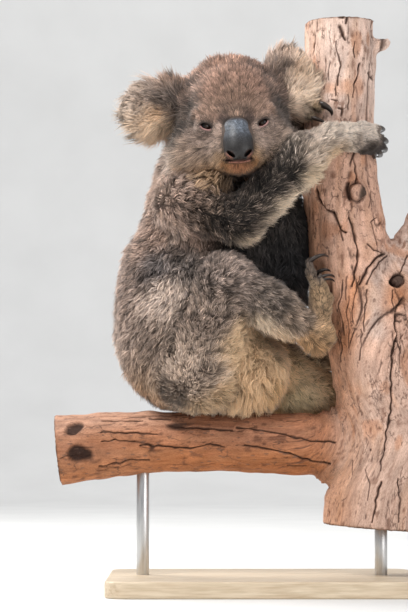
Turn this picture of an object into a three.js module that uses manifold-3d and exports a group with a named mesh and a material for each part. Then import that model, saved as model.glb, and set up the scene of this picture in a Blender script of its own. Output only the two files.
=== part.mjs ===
// A life-size, still model of an adult koala on a forked tree perch, held by a plain display stand.
// Millimetres, +Z up, +X from the animal's back towards the tree, -Y the side that its turned head faces.
// The origin is the middle of the stand's underside. The animal's own right is the -Y side.
// Every form is the outer outline of the coat. The bodies are blended balls and tapered limbs:
// each node's surface is found by casting rays from the node's own centre path to that blend,
// and a node is then cut back from its neighbours by a thin gap.
import * as THREE from "three";
import { mergeVertices } from "three/addons/utils/BufferGeometryUtils.js";
import Module from "manifold-3d";

const wasm = await Module();
wasm.setup();
const { Manifold, Mesh: SolidMesh } = wasm;

// ---- driving sizes -------------------------------------------------------
const GAP = 0.4; // left between a node and the neighbour that cuts it
const BASE = { length: 340, width: 240, height: 18, corner: 22, bevel: 2 };
const ROD = { radius: 7, sides: 16, sunk: 14, slack: 0.35 };
const ROD_AT = { trunk: [131, 0], branch: [-132, 4] };
const LOG = { sides: 12, steps: 1, ripple: 1.4 };
const CLAW = { sides: 5, steps: 3 };
const DIGIT_MESH = [2, 2, 5]; // rings along, rings in each cap, segments round
const PAD_MESH = [2, 3, 8];

const COLOURS = {
  fur: 0x8c7a70, furPale: 0xb9a48f, furHand: 0xa08f80, nose: 0x3c4047, eye: 0x2a1c12,
  claw: 0x24211f, bark: 0xa87a62, base: 0x2b2624, steel: 0xb9bcc0,
};

// ---- blended forms -------------------------------------------------------
const ball = (name, at, radii, { turn = [0, 0, 0], blend = 12, carve = false } = {}) =>
  ({ name, at, radii, blend, carve, unturn: matrixOf(turn).transpose() });
const limb = (name, from, r0, to, r1, { blend = 12 } = {}) => ({ name, from, r0, to, r1, blend });
const digit = (name, joints, r0, r1) => ({
  name, joints,
  shapes: joints.slice(1).map((to, i) => {
    const n = joints.length - 1;
    return limb(`${name}_${i + 1}`, joints[i], r0 + ((r1 - r0) * i) / n, to, r0 + ((r1 - r0) * (i + 1)) / n, { blend: 5 });
  }),
});
const claw = (name, joints, radius) => ({ name, joints, radius });

function matrixOf(turn) {
  const e = new THREE.Euler(...turn.map(THREE.MathUtils.degToRad), "XYZ");
  return new THREE.Matrix4().makeRotationFromEuler(e);
}

// A ball's or limb's distance, negative inside.
function distance(s, p) {
  if (s.radii) {
    const q = new THREE.Vector3(p.x - s.at[0], p.y - s.at[1], p.z - s.at[2]).applyMatrix4(s.unturn);
    const [a, b, c] = s.radii;
    const k0 = Math.hypot(q.x / a, q.y / b, q.z / c);
    const k1 = Math.hypot(q.x / (a * a), q.y / (b * b), q.z / (c * c));
    return (k0 * (k0 - 1)) / Math.max(k1, 1e-9);
  }
  const [ax, ay, az] = s.from, [bx, by, bz] = s.to;
  const ux = bx - ax, uy = by - ay, uz = bz - az;
  const h = THREE.MathUtils.clamp(((p.x - ax) * ux + (p.y - ay) * uy + (p.z - az) * uz) / (ux * ux + uy * uy + uz * uz), 0, 1);
  return Math.hypot(p.x - ax - h * ux, p.y - ay - h * uy, p.z - az - h * uz) - (s.r0 + (s.r1 - s.r0) * h);
}
function melt(a, b, k) {
  const h = Math.max(k - Math.abs(a - b), 0) / k;
  return Math.min(a, b) - (h * h * k) / 4;
}
function field(shapes, p) {
  let d = null;
  for (const s of shapes) {
    const e = distance(s, p);
    d = d === null ? e : s.carve ? -melt(-d, e, s.blend) : melt(d, e, s.blend);
  }
  return d;
}

// ---- from a form to a closed mesh ---------------------------------------
// How far a ray runs from o along d before it leaves the form.
function reach(shapes, o, d) {
  const p = new THREE.Vector3();
  const at = (t) => field(shapes, p.copy(d).multiplyScalar(t).add(o));
  let t = 0;
  while (t < 400 && at(t) < 0) t += 2;
  let lo = Math.max(0, t - 2), hi = t;
  for (let i = 0; i < 18; i++) {
    const m = (lo + hi) / 2;
    if (at(m) < 0) lo = m;
    else hi = m;
  }
  return (lo + hi) / 2;
}
// Rings of vertices and two poles as one closed geometry.
function ringsToGeometry(first, rings, last) {
  const n = rings[0].length, v = [first, ...rings.flat(), last], f = [];
  const id = (r, i) => 1 + r * n + (i % n);
  for (let i = 0; i < n; i++) f.push(0, id(0, i + 1), id(0, i));
  for (let r = 0; r + 1 < rings.length; r++)
    for (let i = 0; i < n; i++) {
      f.push(id(r, i), id(r, i + 1), id(r + 1, i + 1));
      f.push(id(r, i), id(r + 1, i + 1), id(r + 1, i));
    }
  const end = v.length - 1, r = rings.length - 1;
  for (let i = 0; i < n; i++) f.push(id(r, i), id(r, i + 1), end);
  const g = new THREE.BufferGeometry();
  g.setAttribute("position", new THREE.Float32BufferAttribute(v.flatMap((p) => [p.x, p.y, p.z]), 3));
  g.setIndex(f);
  return g;
}
// The line through the joints, smooth where there are more than two.
function lineThrough(joints) {
  const p = joints.map((j) => new THREE.Vector3(...j));
  return p.length > 2 ? new THREE.CatmullRomCurve3(p, false, "centripetal") : new THREE.LineCurve3(p[0], p[1]);
}
// Frames that turn as little as they can along a line.
function framesAlong(line, n) {
  const out = [];
  let side = null;
  for (let i = 0; i <= n; i++) {
    const t = i / n, at = line.getPoint(t), dir = line.getTangent(t).normalize();
    if (!side) side = new THREE.Vector3(Math.abs(dir.y) < 0.8 ? 0 : 1, Math.abs(dir.y) < 0.8 ? 1 : 0, 0);
    side = side.clone().addScaledVector(dir, -side.dot(dir)).normalize();
    out.push({ at, dir, side, up: new THREE.Vector3().crossVectors(dir, side) });
  }
  return out;
}
// A form wrapped in rings round its centre path, with fans of rings at both ends.
function wrap(shapes, joints, [along, cap, round]) {
  const frames = framesAlong(lineThrough(joints), along), rings = [];
  const cast = (f, tilt) => {
    const ring = [];
    for (let i = 0; i < round; i++) {
      const a = (i / round) * 2 * Math.PI;
      const d = new THREE.Vector3()
        .addScaledVector(f.side, Math.cos(a) * Math.cos(tilt))
        .addScaledVector(f.up, Math.sin(a) * Math.cos(tilt))
        .addScaledVector(f.dir, Math.sin(tilt));
      ring.push(f.at.clone().addScaledVector(d, reach(shapes, f.at, d)));
    }
    return ring;
  };
  const pole = (f, s) => f.at.clone().addScaledVector(f.dir, s * reach(shapes, f.at, f.dir.clone().multiplyScalar(s)));
  const a = frames[0], b = frames[frames.length - 1], q = Math.PI / 2;
  for (let j = cap - 1; j >= 1; j--) rings.push(cast(a, (-q * j) / cap));
  for (const f of frames) rings.push(cast(f, 0));
  for (let j = 1; j < cap; j++) rings.push(cast(b, (q * j) / cap));
  return ringsToGeometry(pole(a, -1), rings, pole(b, 1));
}
// A tapering tube with a smooth radius along it, flat or pointed at the ends.
function tube(joints, radiusAt, steps, sides, wobble = () => 0) {
  const frames = framesAlong(lineThrough(joints), steps), rings = [];
  frames.forEach((f, k) => {
    const ring = [];
    for (let i = 0; i < sides; i++) {
      const a = (i / sides) * 2 * Math.PI, r = radiusAt(k / steps) + wobble(k, a);
      ring.push(f.at.clone().addScaledVector(f.side, r * Math.cos(a)).addScaledVector(f.up, r * Math.sin(a)));
    }
    rings.push(ring);
  });
  return ringsToGeometry(frames[0].at, rings, frames[steps].at);
}

// ---- solids --------------------------------------------------------------
function solidOf(geometry) {
  const g = geometry.clone();
  g.deleteAttribute("normal");
  g.deleteAttribute("uv");
  const m = mergeVertices(g, 1e-4);
  const made = new Manifold(new SolidMesh({
    numProp: 3,
    vertProperties: Float32Array.from(m.attributes.position.array),
    triVerts: Uint32Array.from(m.index.array),
  }));
  if (made.volume() > 0) return made;
  const t = Uint32Array.from(m.index.array);
  for (let i = 0; i < t.length; i += 3) [t[i + 1], t[i + 2]] = [t[i + 2], t[i + 1]];
  return new Manifold(new SolidMesh({ numProp: 3, vertProperties: Float32Array.from(m.attributes.position.array), triVerts: t }));
}
// The same surface moved out along its normals, to cut a neighbour with.
function swollen(geometry, by) {
  const g = mergeVertices(geometry.clone().deleteAttribute("normal").deleteAttribute("uv"), 1e-4);
  g.computeVertexNormals();
  const p = g.attributes.position, n = g.attributes.normal;
  const outwards = solidSign(g);
  for (let i = 0; i < p.count; i++)
    p.setXYZ(i, p.getX(i) + outwards * n.getX(i) * by, p.getY(i) + outwards * n.getY(i) * by, p.getZ(i) + outwards * n.getZ(i) * by);
  return solidOf(g);
}
function solidSign(g) {
  const p = g.attributes.position, ix = g.index.array, a = new THREE.Vector3(), b = new THREE.Vector3(), c = new THREE.Vector3();
  let v = 0;
  for (let i = 0; i < ix.length; i += 3) {
    a.fromBufferAttribute(p, ix[i]); b.fromBufferAttribute(p, ix[i + 1]); c.fromBufferAttribute(p, ix[i + 2]);
    v += a.dot(b.cross(c));
  }
  return Math.sign(v);
}
const joined = (list) => list.reduce((a, b) => a.add(b));
// A solid's largest piece, so that a cut leaves no crumbs.
function largest(solid) {
  return solid.decompose().sort((a, b) => b.volume() - a.volume())[0];
}
function geometryOf(solid) {
  const m = solid.getMesh(), v = new Float32Array(m.numVert * 3);
  for (let i = 0; i < m.numVert; i++) v.set(m.vertProperties.subarray(i * m.numProp, i * m.numProp + 3), i * 3);
  const g = new THREE.BufferGeometry();
  g.setAttribute("position", new THREE.BufferAttribute(v, 3));
  g.setIndex(new THREE.BufferAttribute(Uint32Array.from(m.triVerts), 1));
  g.computeVertexNormals();
  return g;
}

// ---- the animal's forms --------------------------------------------------
const FORMS = {
  torso: { path: [[-84.4, 0, 388.7], [-79.9, 0, 271.9]], mesh: [3, 4, 15], shapes: [
    ball('rump', [-86.6, 0, 283], [84.4, 75.5, 92.1]),
    ball('mid_back', [-91, 0, 340.8], [76.6, 72.2, 84.4], { blend: 25 }),
    ball('shoulders', [-81.1, 0, 417.7], [56.6, 64.4, 66.6], { blend: 25 }),
    ball('belly', [-42.2, 0, 338.6], [66.6, 61.1, 88.8], { blend: 25 }),
    ball('groin', [-21.2, 0, 245.3], [58.8, 57.7, 53.3], { blend: 20 }),
    ball('chest', [2.6, 12, 393], [64.4, 48.8, 72.2], { blend: 20 }),
    ball('lap', [27, 8, 333.5], [33.3, 37.7, 46.6], { blend: 20 }),
    ball('breast', [-26.7, -8, 441.5], [40, 40, 37.7], { blend: 20 }),
  ] },
  neck: { path: [[-68.8, -10, 476.9], [-68.8, -8, 463.8]], mesh: [1, 3, 12], shapes: [
    ball('neck', [-68.8, -10, 468], [50, 50, 46.6]),
    ball('bib', [-53.5, -64, 448.9], [28.9, 23.3, 21.1], { blend: 14 }),
  ] },
  head: { frame: { at: [-33.7, -45, 513.6], turn: [3, -4, 3.5] }, path: [[0, 11.1, 4.4], [0, -11.1, 0]], mesh: [2, 6, 17], shapes: [
    ball('cranium', [1.1, 8.9, 15.5], [62.2, 66.6, 63.3]),
    ball('cheek_r', [-35.5, -8.9, -24.4], [35.5, 44.4, 38.9], { blend: 20 }),
    ball('cheek_l', [35.5, -8.9, -24.4], [35.5, 44.4, 38.9], { blend: 20 }),
    ball('muzzle', [0, -51.1, -22.2], [30, 32.2, 28.9], { blend: 22 }),
    ball('chin', [0, -42.2, -44.4], [23.3, 26.6, 16.1], { blend: 16 }),
    ball('throat', [0, -5.6, -37.7], [46.6, 40, 27.8], { blend: 16 }),
    ball('brow_r', [-31.1, -42.2, 7.2], [18.9, 13.3, 11.1], { blend: 10 }),
    ball('brow_l', [26.6, -42.2, 7.2], [18.9, 13.3, 11.1], { blend: 10 }),
  ] },
  nose: { frame: { at: [-33.7, -45, 513.6], turn: [3, -4, 3.5] }, path: [[-0.6, -67.7, -31.1], [-0.6, -64.4, -14.4]], mesh: [3, 3, 10], shapes: [
    ball('bridge', [-0.6, -62.2, -10.5], [14.7, 12.2, 11.1], { turn: [-28, 0, 0] }),
    ball('pad', [-0.6, -69.9, -24.4], [16.5, 14.4, 20.5], { turn: [-20, 0, 0], blend: 8 }),
    ball('tip', [-0.6, -74.9, -36.6], [14.7, 10, 8.9], { blend: 8 }),
  ] },
  eye_r: { frame: { at: [-33.7, -45, 513.6], turn: [3, -4, 3.5] }, path: [[-32.7, -50, -5.2], [-32.7, -51.1, -5.2]], mesh: [1, 3, 8], shapes: [
    ball('eyeball', [-32.7, -50.5, -5.2], [8, 8, 8]),
  ] },
  eye_l: { frame: { at: [-33.7, -45, 513.6], turn: [3, -4, 3.5] }, path: [[28.3, -50, -5.2], [28.3, -51.1, -5.2]], mesh: [1, 3, 8], shapes: [
    ball('eyeball', [28.3, -50.5, -5.2], [8, 8, 8]),
  ] },
  ear_r: { frame: { at: [-33.7, -45, 513.6], turn: [3, -4, 3.5] }, path: [[-85.5, 22.2, 16.7], [-85.5, 16.7, 16.7]], mesh: [1, 4, 16], shapes: [
    ball('conch', [-86, 13.3, 20], [35.5, 17.8, 35.5], { turn: [0, 10, 25], blend: 8 }),
    ball('root', [-62.2, 13.3, 26.6], [30, 20, 30], { blend: 14 }),
    ball('cup', [-88.8, -8.9, 21.1], [22.2, 13.3, 23.3], { turn: [0, 10, 25], blend: 8, carve: true }),
  ] },
  ear_l: { frame: { at: [-33.7, -45, 513.6], turn: [3, -4, 3.5] }, path: [[72.2, 24.4, 31.1], [72.2, 18.9, 31.1]], mesh: [1, 4, 16], shapes: [
    ball('conch', [70.5, 15.5, 41.1], [31.6, 17.8, 41.1], { turn: [0, -12, -25], blend: 8 }),
    ball('root', [53.3, 13.3, 32.2], [26.6, 20, 33.3], { blend: 14 }),
    ball('cup', [73.3, -6.7, 42.2], [20, 13.3, 24.4], { turn: [0, -12, -25], blend: 8, carve: true }),
  ] },
  upper_arm_r: { path: [[-84, -50, 424.1], [-25.5, -76, 404.2]], mesh: [2, 3, 9], shapes: [
    limb('humerus', [-84, -50, 424.1], 42.2, [-25.5, -76, 404.2], 30),
  ] },
  forearm_r: { path: [[-25.5, -76, 404.2], [37.2, -76, 471.5], [72.6, -64, 496.9]], mesh: [4, 2, 9], shapes: [
    limb('forearm', [-25.5, -76, 404.2], 30, [37.2, -76, 471.5], 27.2),
    limb('wrist', [37.2, -76, 471.5], 27.2, [72.6, -64, 496.9], 19.4, { blend: 20 }),
  ] },
  upper_arm_l: { path: [[-80.3, 50, 433.7], [1.9, 70, 412.7]], mesh: [2, 3, 9], shapes: [
    limb('humerus', [-80.3, 50, 433.7], 40, [1.9, 70, 412.7], 31.1),
  ] },
  forearm_l: { path: [[1.9, 70, 412.7], [34.4, 50, 474.7], [40.1, 22, 516.7]], mesh: [4, 2, 9], shapes: [
    limb('forearm', [1.9, 70, 412.7], 31.1, [34.4, 50, 474.7], 26.1),
    limb('wrist', [34.4, 50, 474.7], 26.1, [40.1, 22, 516.7], 18.9, { blend: 20 }),
  ] },
  thigh_r: { path: [[-73.1, -38, 241.1], [-40.6, -68, 338.8]], mesh: [2, 3, 10], shapes: [
    limb('thigh', [-73.1, -38, 241.1], 51.1, [-40.6, -68, 338.8], 36.6),
  ] },
  shank_r: { path: [[-40.6, -68, 338.8], [56.4, -50, 282.1]], mesh: [3, 3, 10], shapes: [
    limb('shank', [-40.6, -68, 338.8], 36.6, [56.4, -50, 282.1], 22.2),
    ball('calf', [7.8, -59, 310.5], [40, 33.3, 33.3], { turn: [0, 30, 0], blend: 14 }),
  ] },
  thigh_l: { path: [[-68.9, 34, 247.3], [1.4, 60, 268.4]], mesh: [2, 3, 10], shapes: [
    limb('thigh', [-68.9, 34, 247.3], 51.1, [1.4, 60, 268.4], 37.7),
  ] },
  shank_l: { path: [[1.4, 60, 268.4], [67.2, 40, 218.2]], mesh: [3, 3, 10], shapes: [
    limb('shank', [1.4, 60, 268.4], 37.7, [67.2, 40, 218.2], 26.6),
    ball('calf', [34.4, 50, 226.3], [46.6, 33.3, 38.9], { turn: [0, 30, 0], blend: 14 }),
  ] },
};
const EXTREMITIES = {
  hand_r: {
    path: [[73.7, -63.5, 494.8], [94.6, -59, 497.5]],
    pad: [
      ball('palm', [89.2, -59, 497.5], [22.2, 13.3, 17.8], { turn: [0, 0, -12], blend: 8 }),
      limb('wrist', [72.5, -64, 494.7], 18.3, [85.8, -60, 496.3], 15.5, { blend: 8 }),
    ],
    digits: [
      digit('d1', [[88.2, -58, 506.4], [108, -54, 509.7], [125.8, -35, 509.4]], 8.3, 7.1),
      digit('d2', [[96.9, -58, 503.1], [117, -50, 504.1], [131, -24, 499.7]], 8.9, 6.9),
      digit('d3', [[99, -58, 495.5], [120.6, -46, 495.8], [132.5, -18, 491.5]], 8.9, 7.1),
      digit('d4', [[99, -58, 490], [117.3, -46, 489.2], [126.7, -22, 486.6]], 8.9, 7.1),
      digit('d5', [[92.5, -58, 486.7], [108.1, -52, 484.1], [119.3, -32, 484.3]], 8.3, 6.7),
    ],
    claws: [
      claw('hand_r_claw_1', [[128.2, -33, 510.2], [133.9, -23, 509.3], [130.8, -12, 506.8]], 3.3),
      claw('hand_r_claw_2', [[133.5, -20, 499.1], [138.3, -8, 497.2], [133.1, 4, 495.3]], 3.8),
      claw('hand_r_claw_3', [[135, -14, 489.8], [137.1, -2, 487.9], [131.1, 8, 486.8]], 3.8),
      claw('hand_r_claw_4', [[128.6, -19, 484.8], [131.6, -8, 482.2], [126.3, 3, 481.8]], 3.8),
      claw('hand_r_claw_5', [[121.2, -29, 482.5], [124.1, -19, 479.2], [119.2, -10, 478]], 3.6),
    ],
  },
  hand_l: {
    path: [[39, 21, 518.8], [38.3, 4, 530.1]],
    pad: [
      ball('palm', [38.5, 8, 528.4], [13.3, 22.2, 17.8], { turn: [0, 0, 10], blend: 8 }),
      limb('wrist', [39, 22, 517.8], 17.8, [38.7, 14, 524.7], 14.4, { blend: 8 }),
    ],
    digits: [
      digit('d1', [[42.5, -4, 540.2], [50.3, -28, 535.2], [61.8, -42, 530]], 8.9, 8.4),
      digit('d2', [[42.5, -4, 529], [48.2, -26, 522.7], [55.4, -37, 519.1]], 8.3, 6.9),
      digit('d3', [[43.6, 24, 541.9], [53.5, 42, 546.6], [72, 50, 545.5]], 8.9, 7.1),
      digit('d4', [[43.7, 26, 531.9], [53.6, 46, 534.6], [73.3, 53, 533.3]], 8.9, 7.1),
      digit('d5', [[43.7, 26, 521.8], [51.1, 42, 521.6], [67.5, 52, 520.6]], 8.3, 6.7),
    ],
    claws: [
      claw('hand_l_claw_1', [[66, -45, 532.9], [73, -46.5, 528.8], [75.4, -42.5, 521.6]], 4.7),
      claw('hand_l_claw_2', [[58.5, -40, 518.7], [65, -42, 516.2], [70.2, -38, 512.8]], 3.6),
      claw('hand_l_claw_3', [[75.4, 50, 544.3], [83.3, 50, 540.9], [88.7, 44, 534.4]], 4),
      claw('hand_l_claw_4', [[76.7, 53, 532.2], [84.6, 52, 528.6], [89.9, 46, 522.1]], 4),
      claw('hand_l_claw_5', [[70.9, 52, 519.4], [78.8, 51, 514.7], [84.2, 46, 508.4]], 3.6),
    ],
  },
  foot_r: {
    path: [[62.9, -50, 282.1], [61.8, -52, 319.1]],
    pad: [
      ball('sole', [61.8, -52, 313.6], [14.4, 18.9, 33.3], { turn: [0, -3, 30], blend: 10 }),
      ball('heel', [62.9, -50, 281], [18.9, 20, 17.8], { blend: 10 }),
    ],
    digits: [
      digit('d1', [[57.1, -58, 294.8], [63.5, -62, 309.8], [73.5, -58, 320.9]], 7.8, 6.2),
      digit('d2', [[61.3, -62, 327.2], [62.4, -64, 335.7], [61.4, -62, 343.5]], 7.2, 5.6),
      digit('d4', [[56.3, -54, 332], [51.9, -56, 347.1], [49.7, -58, 359]], 8.9, 6.9),
      digit('d5', [[62.1, -46, 328.1], [59.1, -42, 337.1], [55.9, -40, 346]], 8.3, 6.2),
    ],
    claws: [
      claw('foot_r_claw_2', [[63.6, -62, 343.5], [71.3, -60, 345.8], [78.3, -50, 343.2]], 2.9),
      claw('foot_r_claw_3', [[61.7, -56, 339.5], [70.5, -54, 341.8], [78.6, -45, 339.1]], 2.9),
      claw('foot_r_claw_4', [[51.9, -58, 361.2], [61.5, -60, 367], [72.2, -44, 366]], 4),
      claw('foot_r_claw_5', [[58.1, -40, 347.1], [65.5, -46, 352.2], [74.5, -40, 350.4]], 3.8),
    ],
  },
  foot_l: {
    path: [[71.8, 40, 228.3], [67.6, 44, 279.1]],
    pad: [
      ball('sole', [67.6, 44, 273.5], [16.7, 18.9, 33.3], { turn: [0, -3, -30], blend: 10 }),
      ball('heel', [71.7, 40, 222.7], [20, 20, 20], { blend: 10 }),
    ],
    digits: [
      digit('d1', [[64.5, 52, 259.1], [69.7, 64, 277.6], [81, 62, 288.9]], 7.8, 6.2),
      digit('d2', [[69.8, 42, 294.9], [68.7, 42, 306.1], [73.3, 44, 315.3]], 6.7, 5.6),
      digit('d4', [[63.2, 46, 295], [61.1, 48, 311], [63.6, 52, 322.5]], 8.3, 6.7),
      digit('d5', [[58.2, 36, 292.3], [52.5, 32, 307.9], [52.2, 26, 318.8]], 7.8, 6.2),
    ],
    claws: [
      claw('foot_l_claw_2', [[73.4, 46, 314.3], [80.4, 50, 315.6], [86, 48, 311]], 2.9),
      claw('foot_l_claw_3', [[73.2, 42, 319.7], [80.2, 45, 322.1], [85.6, 42, 318.6]], 2.9),
      claw('foot_l_claw_4', [[64.8, 53, 323.7], [72.9, 56, 328.4], [79.4, 51, 325.8]], 4),
      claw('foot_l_claw_5', [[54.4, 25, 321], [61.1, 23, 325.4], [65.4, 21, 321.9]], 3.8),
    ],
  },
};

// ---- the perch: x, y, z and radius along each log -------------------------
const TRUNK = [
  [88.1, 0, 632.9, 37.7],
  [88.5, 0, 590.2, 37.7],
  [85.6, 0, 545.3, 38.3],
  [86, 0, 489.2, 39.4],
  [89.2, 0, 433.3, 42.2],
  [96.8, 0, 377.6, 43.8],
  [111, 0, 321.9, 48.3],
  [127.5, 0, 266.4, 51.1],
  [136.1, 0, 211, 53.3],
  [137, 0, 155.7, 56.6],
  [132.3, 0, 100.5, 59.9],
  [130, 0, 69.7, 62.2]
];
const BRANCH = [
  [-226.2, 4, 155.7, 39.4],
  [-179.6, 4, 160.6, 36.1],
  [-124.2, 4, 165.6, 33.3],
  [-68.8, 4, 166.2, 32.2],
  [-13.4, 4, 165.1, 32.7],
  [42, 4, 162.8, 33.3],
  [91.9, 4, 161.2, 34.4],
  [136.2, 4, 160.1, 33.3]
];
const SIDE_LIMB = [
  [136.7, 2, 310.9, 33.3],
  [159.1, 2, 349.9, 31.1],
  [178.1, 2, 383.3, 28.9],
  [193.9, 2, 416.8, 27.8]
];

function log(rows, seed) {
  const steps = (rows.length - 1) * LOG.steps;
  const radiusAt = (t) => {
    const x = t * (rows.length - 1), i = Math.min(Math.floor(x), rows.length - 2), s = x - i;
    return rows[i][3] * (1 - s) + rows[i + 1][3] * s;
  };
  const wobble = (k, a) => LOG.ripple * (Math.sin(3 * a + seed + k * 0.35) + 0.6 * Math.sin(5 * a - 1.7 * seed - k * 0.6));
  return tube(rows.map((r) => r.slice(0, 3)), radiusAt, steps, LOG.sides, wobble);
}

// ---- making every node ----------------------------------------------------
const root = new THREE.Group();
const made = {}; // each finished node's outline moved out by the gap
const finishes = {
  fur: new THREE.MeshStandardMaterial({ color: COLOURS.fur, roughness: 0.95 }),
  pale: new THREE.MeshStandardMaterial({ color: COLOURS.furPale, roughness: 0.95 }),
  hand: new THREE.MeshStandardMaterial({ color: COLOURS.furHand, roughness: 0.9 }),
  nose: new THREE.MeshStandardMaterial({ color: COLOURS.nose, roughness: 0.55 }),
  eye: new THREE.MeshStandardMaterial({ color: COLOURS.eye, roughness: 0.1 }),
  claw: new THREE.MeshStandardMaterial({ color: COLOURS.claw, roughness: 0.35 }),
  bark: new THREE.MeshStandardMaterial({ color: COLOURS.bark, roughness: 0.85 }),
  base: new THREE.MeshStandardMaterial({ color: COLOURS.base, roughness: 0.5 }),
  steel: new THREE.MeshStandardMaterial({ color: COLOURS.steel, roughness: 0.3, metalness: 1 }),
};
// Each node is cut back from every node made before it.
function add(name, solid, cutter, finish) {
  for (const n in made) solid = solid.subtract(made[n]);
  made[name] = cutter;
  const mesh = new THREE.Mesh(geometryOf(largest(solid)), finishes[finish].clone());
  mesh.name = name;
  root.add(mesh);
}
// Where a form is given in a frame of its own, its mesh is made there and then placed.
function placed(geometry, frame) {
  if (!frame) return geometry;
  return geometry.applyMatrix4(matrixOf(frame.turn).setPosition(...frame.at));
}
function form(name, finish) {
  const f = FORMS[name];
  const g = placed(wrap(f.shapes, f.path, f.mesh), f.frame);
  add(name, solidOf(g), swollen(g, GAP), finish);
}

// stand: base plate with rounded corners, and two rods up into the wood
function roundedPlate({ length, width, height, corner, bevel }) {
  const x = length / 2 - bevel, y = width / 2 - bevel, r = corner, s = new THREE.Shape();
  s.moveTo(-x + r, -y).lineTo(x - r, -y).absarc(x - r, -y + r, r, -Math.PI / 2, 0, false)
    .lineTo(x, y - r).absarc(x - r, y - r, r, 0, Math.PI / 2, false)
    .lineTo(-x + r, y).absarc(-x + r, y - r, r, Math.PI / 2, Math.PI, false)
    .lineTo(-x, -y + r).absarc(-x + r, -y + r, r, Math.PI, 1.5 * Math.PI, false);
  const g = new THREE.ExtrudeGeometry(s, { depth: height - 2 * bevel, bevelEnabled: true, bevelThickness: bevel, bevelSize: bevel, bevelSegments: 1, curveSegments: 4, steps: 1 });
  return g.translate(0, 0, bevel);
}
const plate = roundedPlate(BASE);
const woodUnder = { trunk: TRUNK[TRUNK.length - 1][2], branch: BRANCH[0][2] - BRANCH[0][3] };
function rod(at, top, grow) {
  const bottom = BASE.height - 8;
  return solidOf(new THREE.CylinderGeometry(ROD.radius + grow, ROD.radius + grow, top + grow - bottom + grow, ROD.sides)
    .rotateX(Math.PI / 2).translate(at[0], at[1], (top + bottom) / 2));
}
const rodTop = { trunk: woodUnder.trunk + ROD.sunk, branch: woodUnder.branch + ROD.sunk + 6 };
for (const n of ["trunk", "branch"]) add("stand_rod_" + n, rod(ROD_AT[n], rodTop[n], 0), rod(ROD_AT[n], rodTop[n], ROD.slack), "steel");
add("stand_base", solidOf(plate), solidOf(plate), "base");

// perch
for (const [name, rows, seed] of [["perch_trunk", TRUNK, 0.4], ["perch_limb", SIDE_LIMB, 2.1], ["perch_branch", BRANCH, 3.3]]) {
  const g = log(rows, seed);
  add(name, solidOf(g), swollen(g, GAP), "bark");
}

// the animal, from its hard and outer pieces in to the trunk of its body
for (const name of ["eye_r", "eye_l"]) form(name, "eye");
form("nose", "nose");
for (const [name, e] of Object.entries(EXTREMITIES)) {
  for (const c of e.claws) {
    const g = tube(c.joints, (t) => c.radius * Math.sqrt(Math.max(1 - t, 0)) * 0.95 + 0.35, CLAW.steps, CLAW.sides);
    add(c.name, solidOf(g), swollen(g, GAP), "claw");
  }
  const pieces = [wrap(e.pad, e.path, PAD_MESH), ...e.digits.map((d) => wrap(d.shapes, d.joints, DIGIT_MESH))];
  add(name, joined(pieces.map(solidOf)), joined(pieces.map((g) => swollen(g, GAP))), "hand");
}
for (const name of ["forearm_r", "upper_arm_r", "shank_r", "thigh_r", "forearm_l", "upper_arm_l", "shank_l", "thigh_l", "head"]) form(name, "fur");
for (const name of ["ear_r", "ear_l"]) form(name, "pale");
for (const name of ["neck", "torso"]) form(name, "fur");

export default root;
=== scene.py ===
"""The looks of a life-size koala on a forked perch. Lengths in the tables are millimetres in the CAD frame."""
import math, time
import bpy
import numpy as np
from mathutils import Matrix, Vector, kdtree


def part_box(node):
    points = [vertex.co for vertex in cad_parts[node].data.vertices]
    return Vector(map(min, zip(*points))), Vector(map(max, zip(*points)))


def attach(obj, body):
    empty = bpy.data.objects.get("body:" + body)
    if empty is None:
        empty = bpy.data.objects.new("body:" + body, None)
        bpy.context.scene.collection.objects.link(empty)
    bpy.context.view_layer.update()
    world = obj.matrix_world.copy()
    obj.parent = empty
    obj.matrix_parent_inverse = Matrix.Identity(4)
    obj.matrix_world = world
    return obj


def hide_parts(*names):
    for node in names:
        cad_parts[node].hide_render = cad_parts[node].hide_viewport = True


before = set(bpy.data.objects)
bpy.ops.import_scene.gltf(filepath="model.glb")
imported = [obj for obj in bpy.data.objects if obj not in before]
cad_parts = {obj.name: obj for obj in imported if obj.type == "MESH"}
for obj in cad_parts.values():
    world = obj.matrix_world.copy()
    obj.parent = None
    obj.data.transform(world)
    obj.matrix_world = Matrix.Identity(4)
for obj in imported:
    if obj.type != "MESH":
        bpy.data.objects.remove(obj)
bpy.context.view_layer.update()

T0 = time.time()
RNG = np.random.default_rng(20)
MM = 0.001


def say(*words):
    print("[koala %5.1f s]" % (time.time() - T0), *words, flush=True)


# ---- the view -------------------------------------------------------------
PX = 1.11          # mm per picture unit at the target
FAR = 2600.0       # camera to target
LOOK_UP = 3.0      # degrees
CENTRE = (262.0, 590.0)  # picture place of the frame's origin
TARGET = np.array([(204 - CENTRE[0]) * PX, 0.0, (CENTRE[1] - 306) * PX])
_c, _s = math.cos(math.radians(LOOK_UP)), math.sin(math.radians(LOOK_UP))
FWD, UPW = np.array([0.0, _c, _s]), np.array([0.0, -_s, _c])
EYE_AT = TARGET - FAR * FWD


def W(u, y, v):
    """A place in the view, u across and v down, at depth y, in mm."""
    t = PX / FAR
    d = FWD + np.array([(u - 204) * t, 0, 0]) + (306 - v) * t * UPW
    return EYE_AT + d * (y - EYE_AT[1]) / d[1]


cam_data = bpy.data.cameras.new("camera")
cam = bpy.data.objects.new("camera", cam_data)
bpy.context.collection.objects.link(cam)
cam.location = EYE_AT * MM
cam.rotation_euler = (math.radians(90 + LOOK_UP), 0, 0)
cam_data.sensor_fit = "VERTICAL"
cam_data.angle_y = 2 * math.atan(306 * PX / FAR)
cam_data.clip_end = 50
bpy.context.scene.camera = cam


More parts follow.
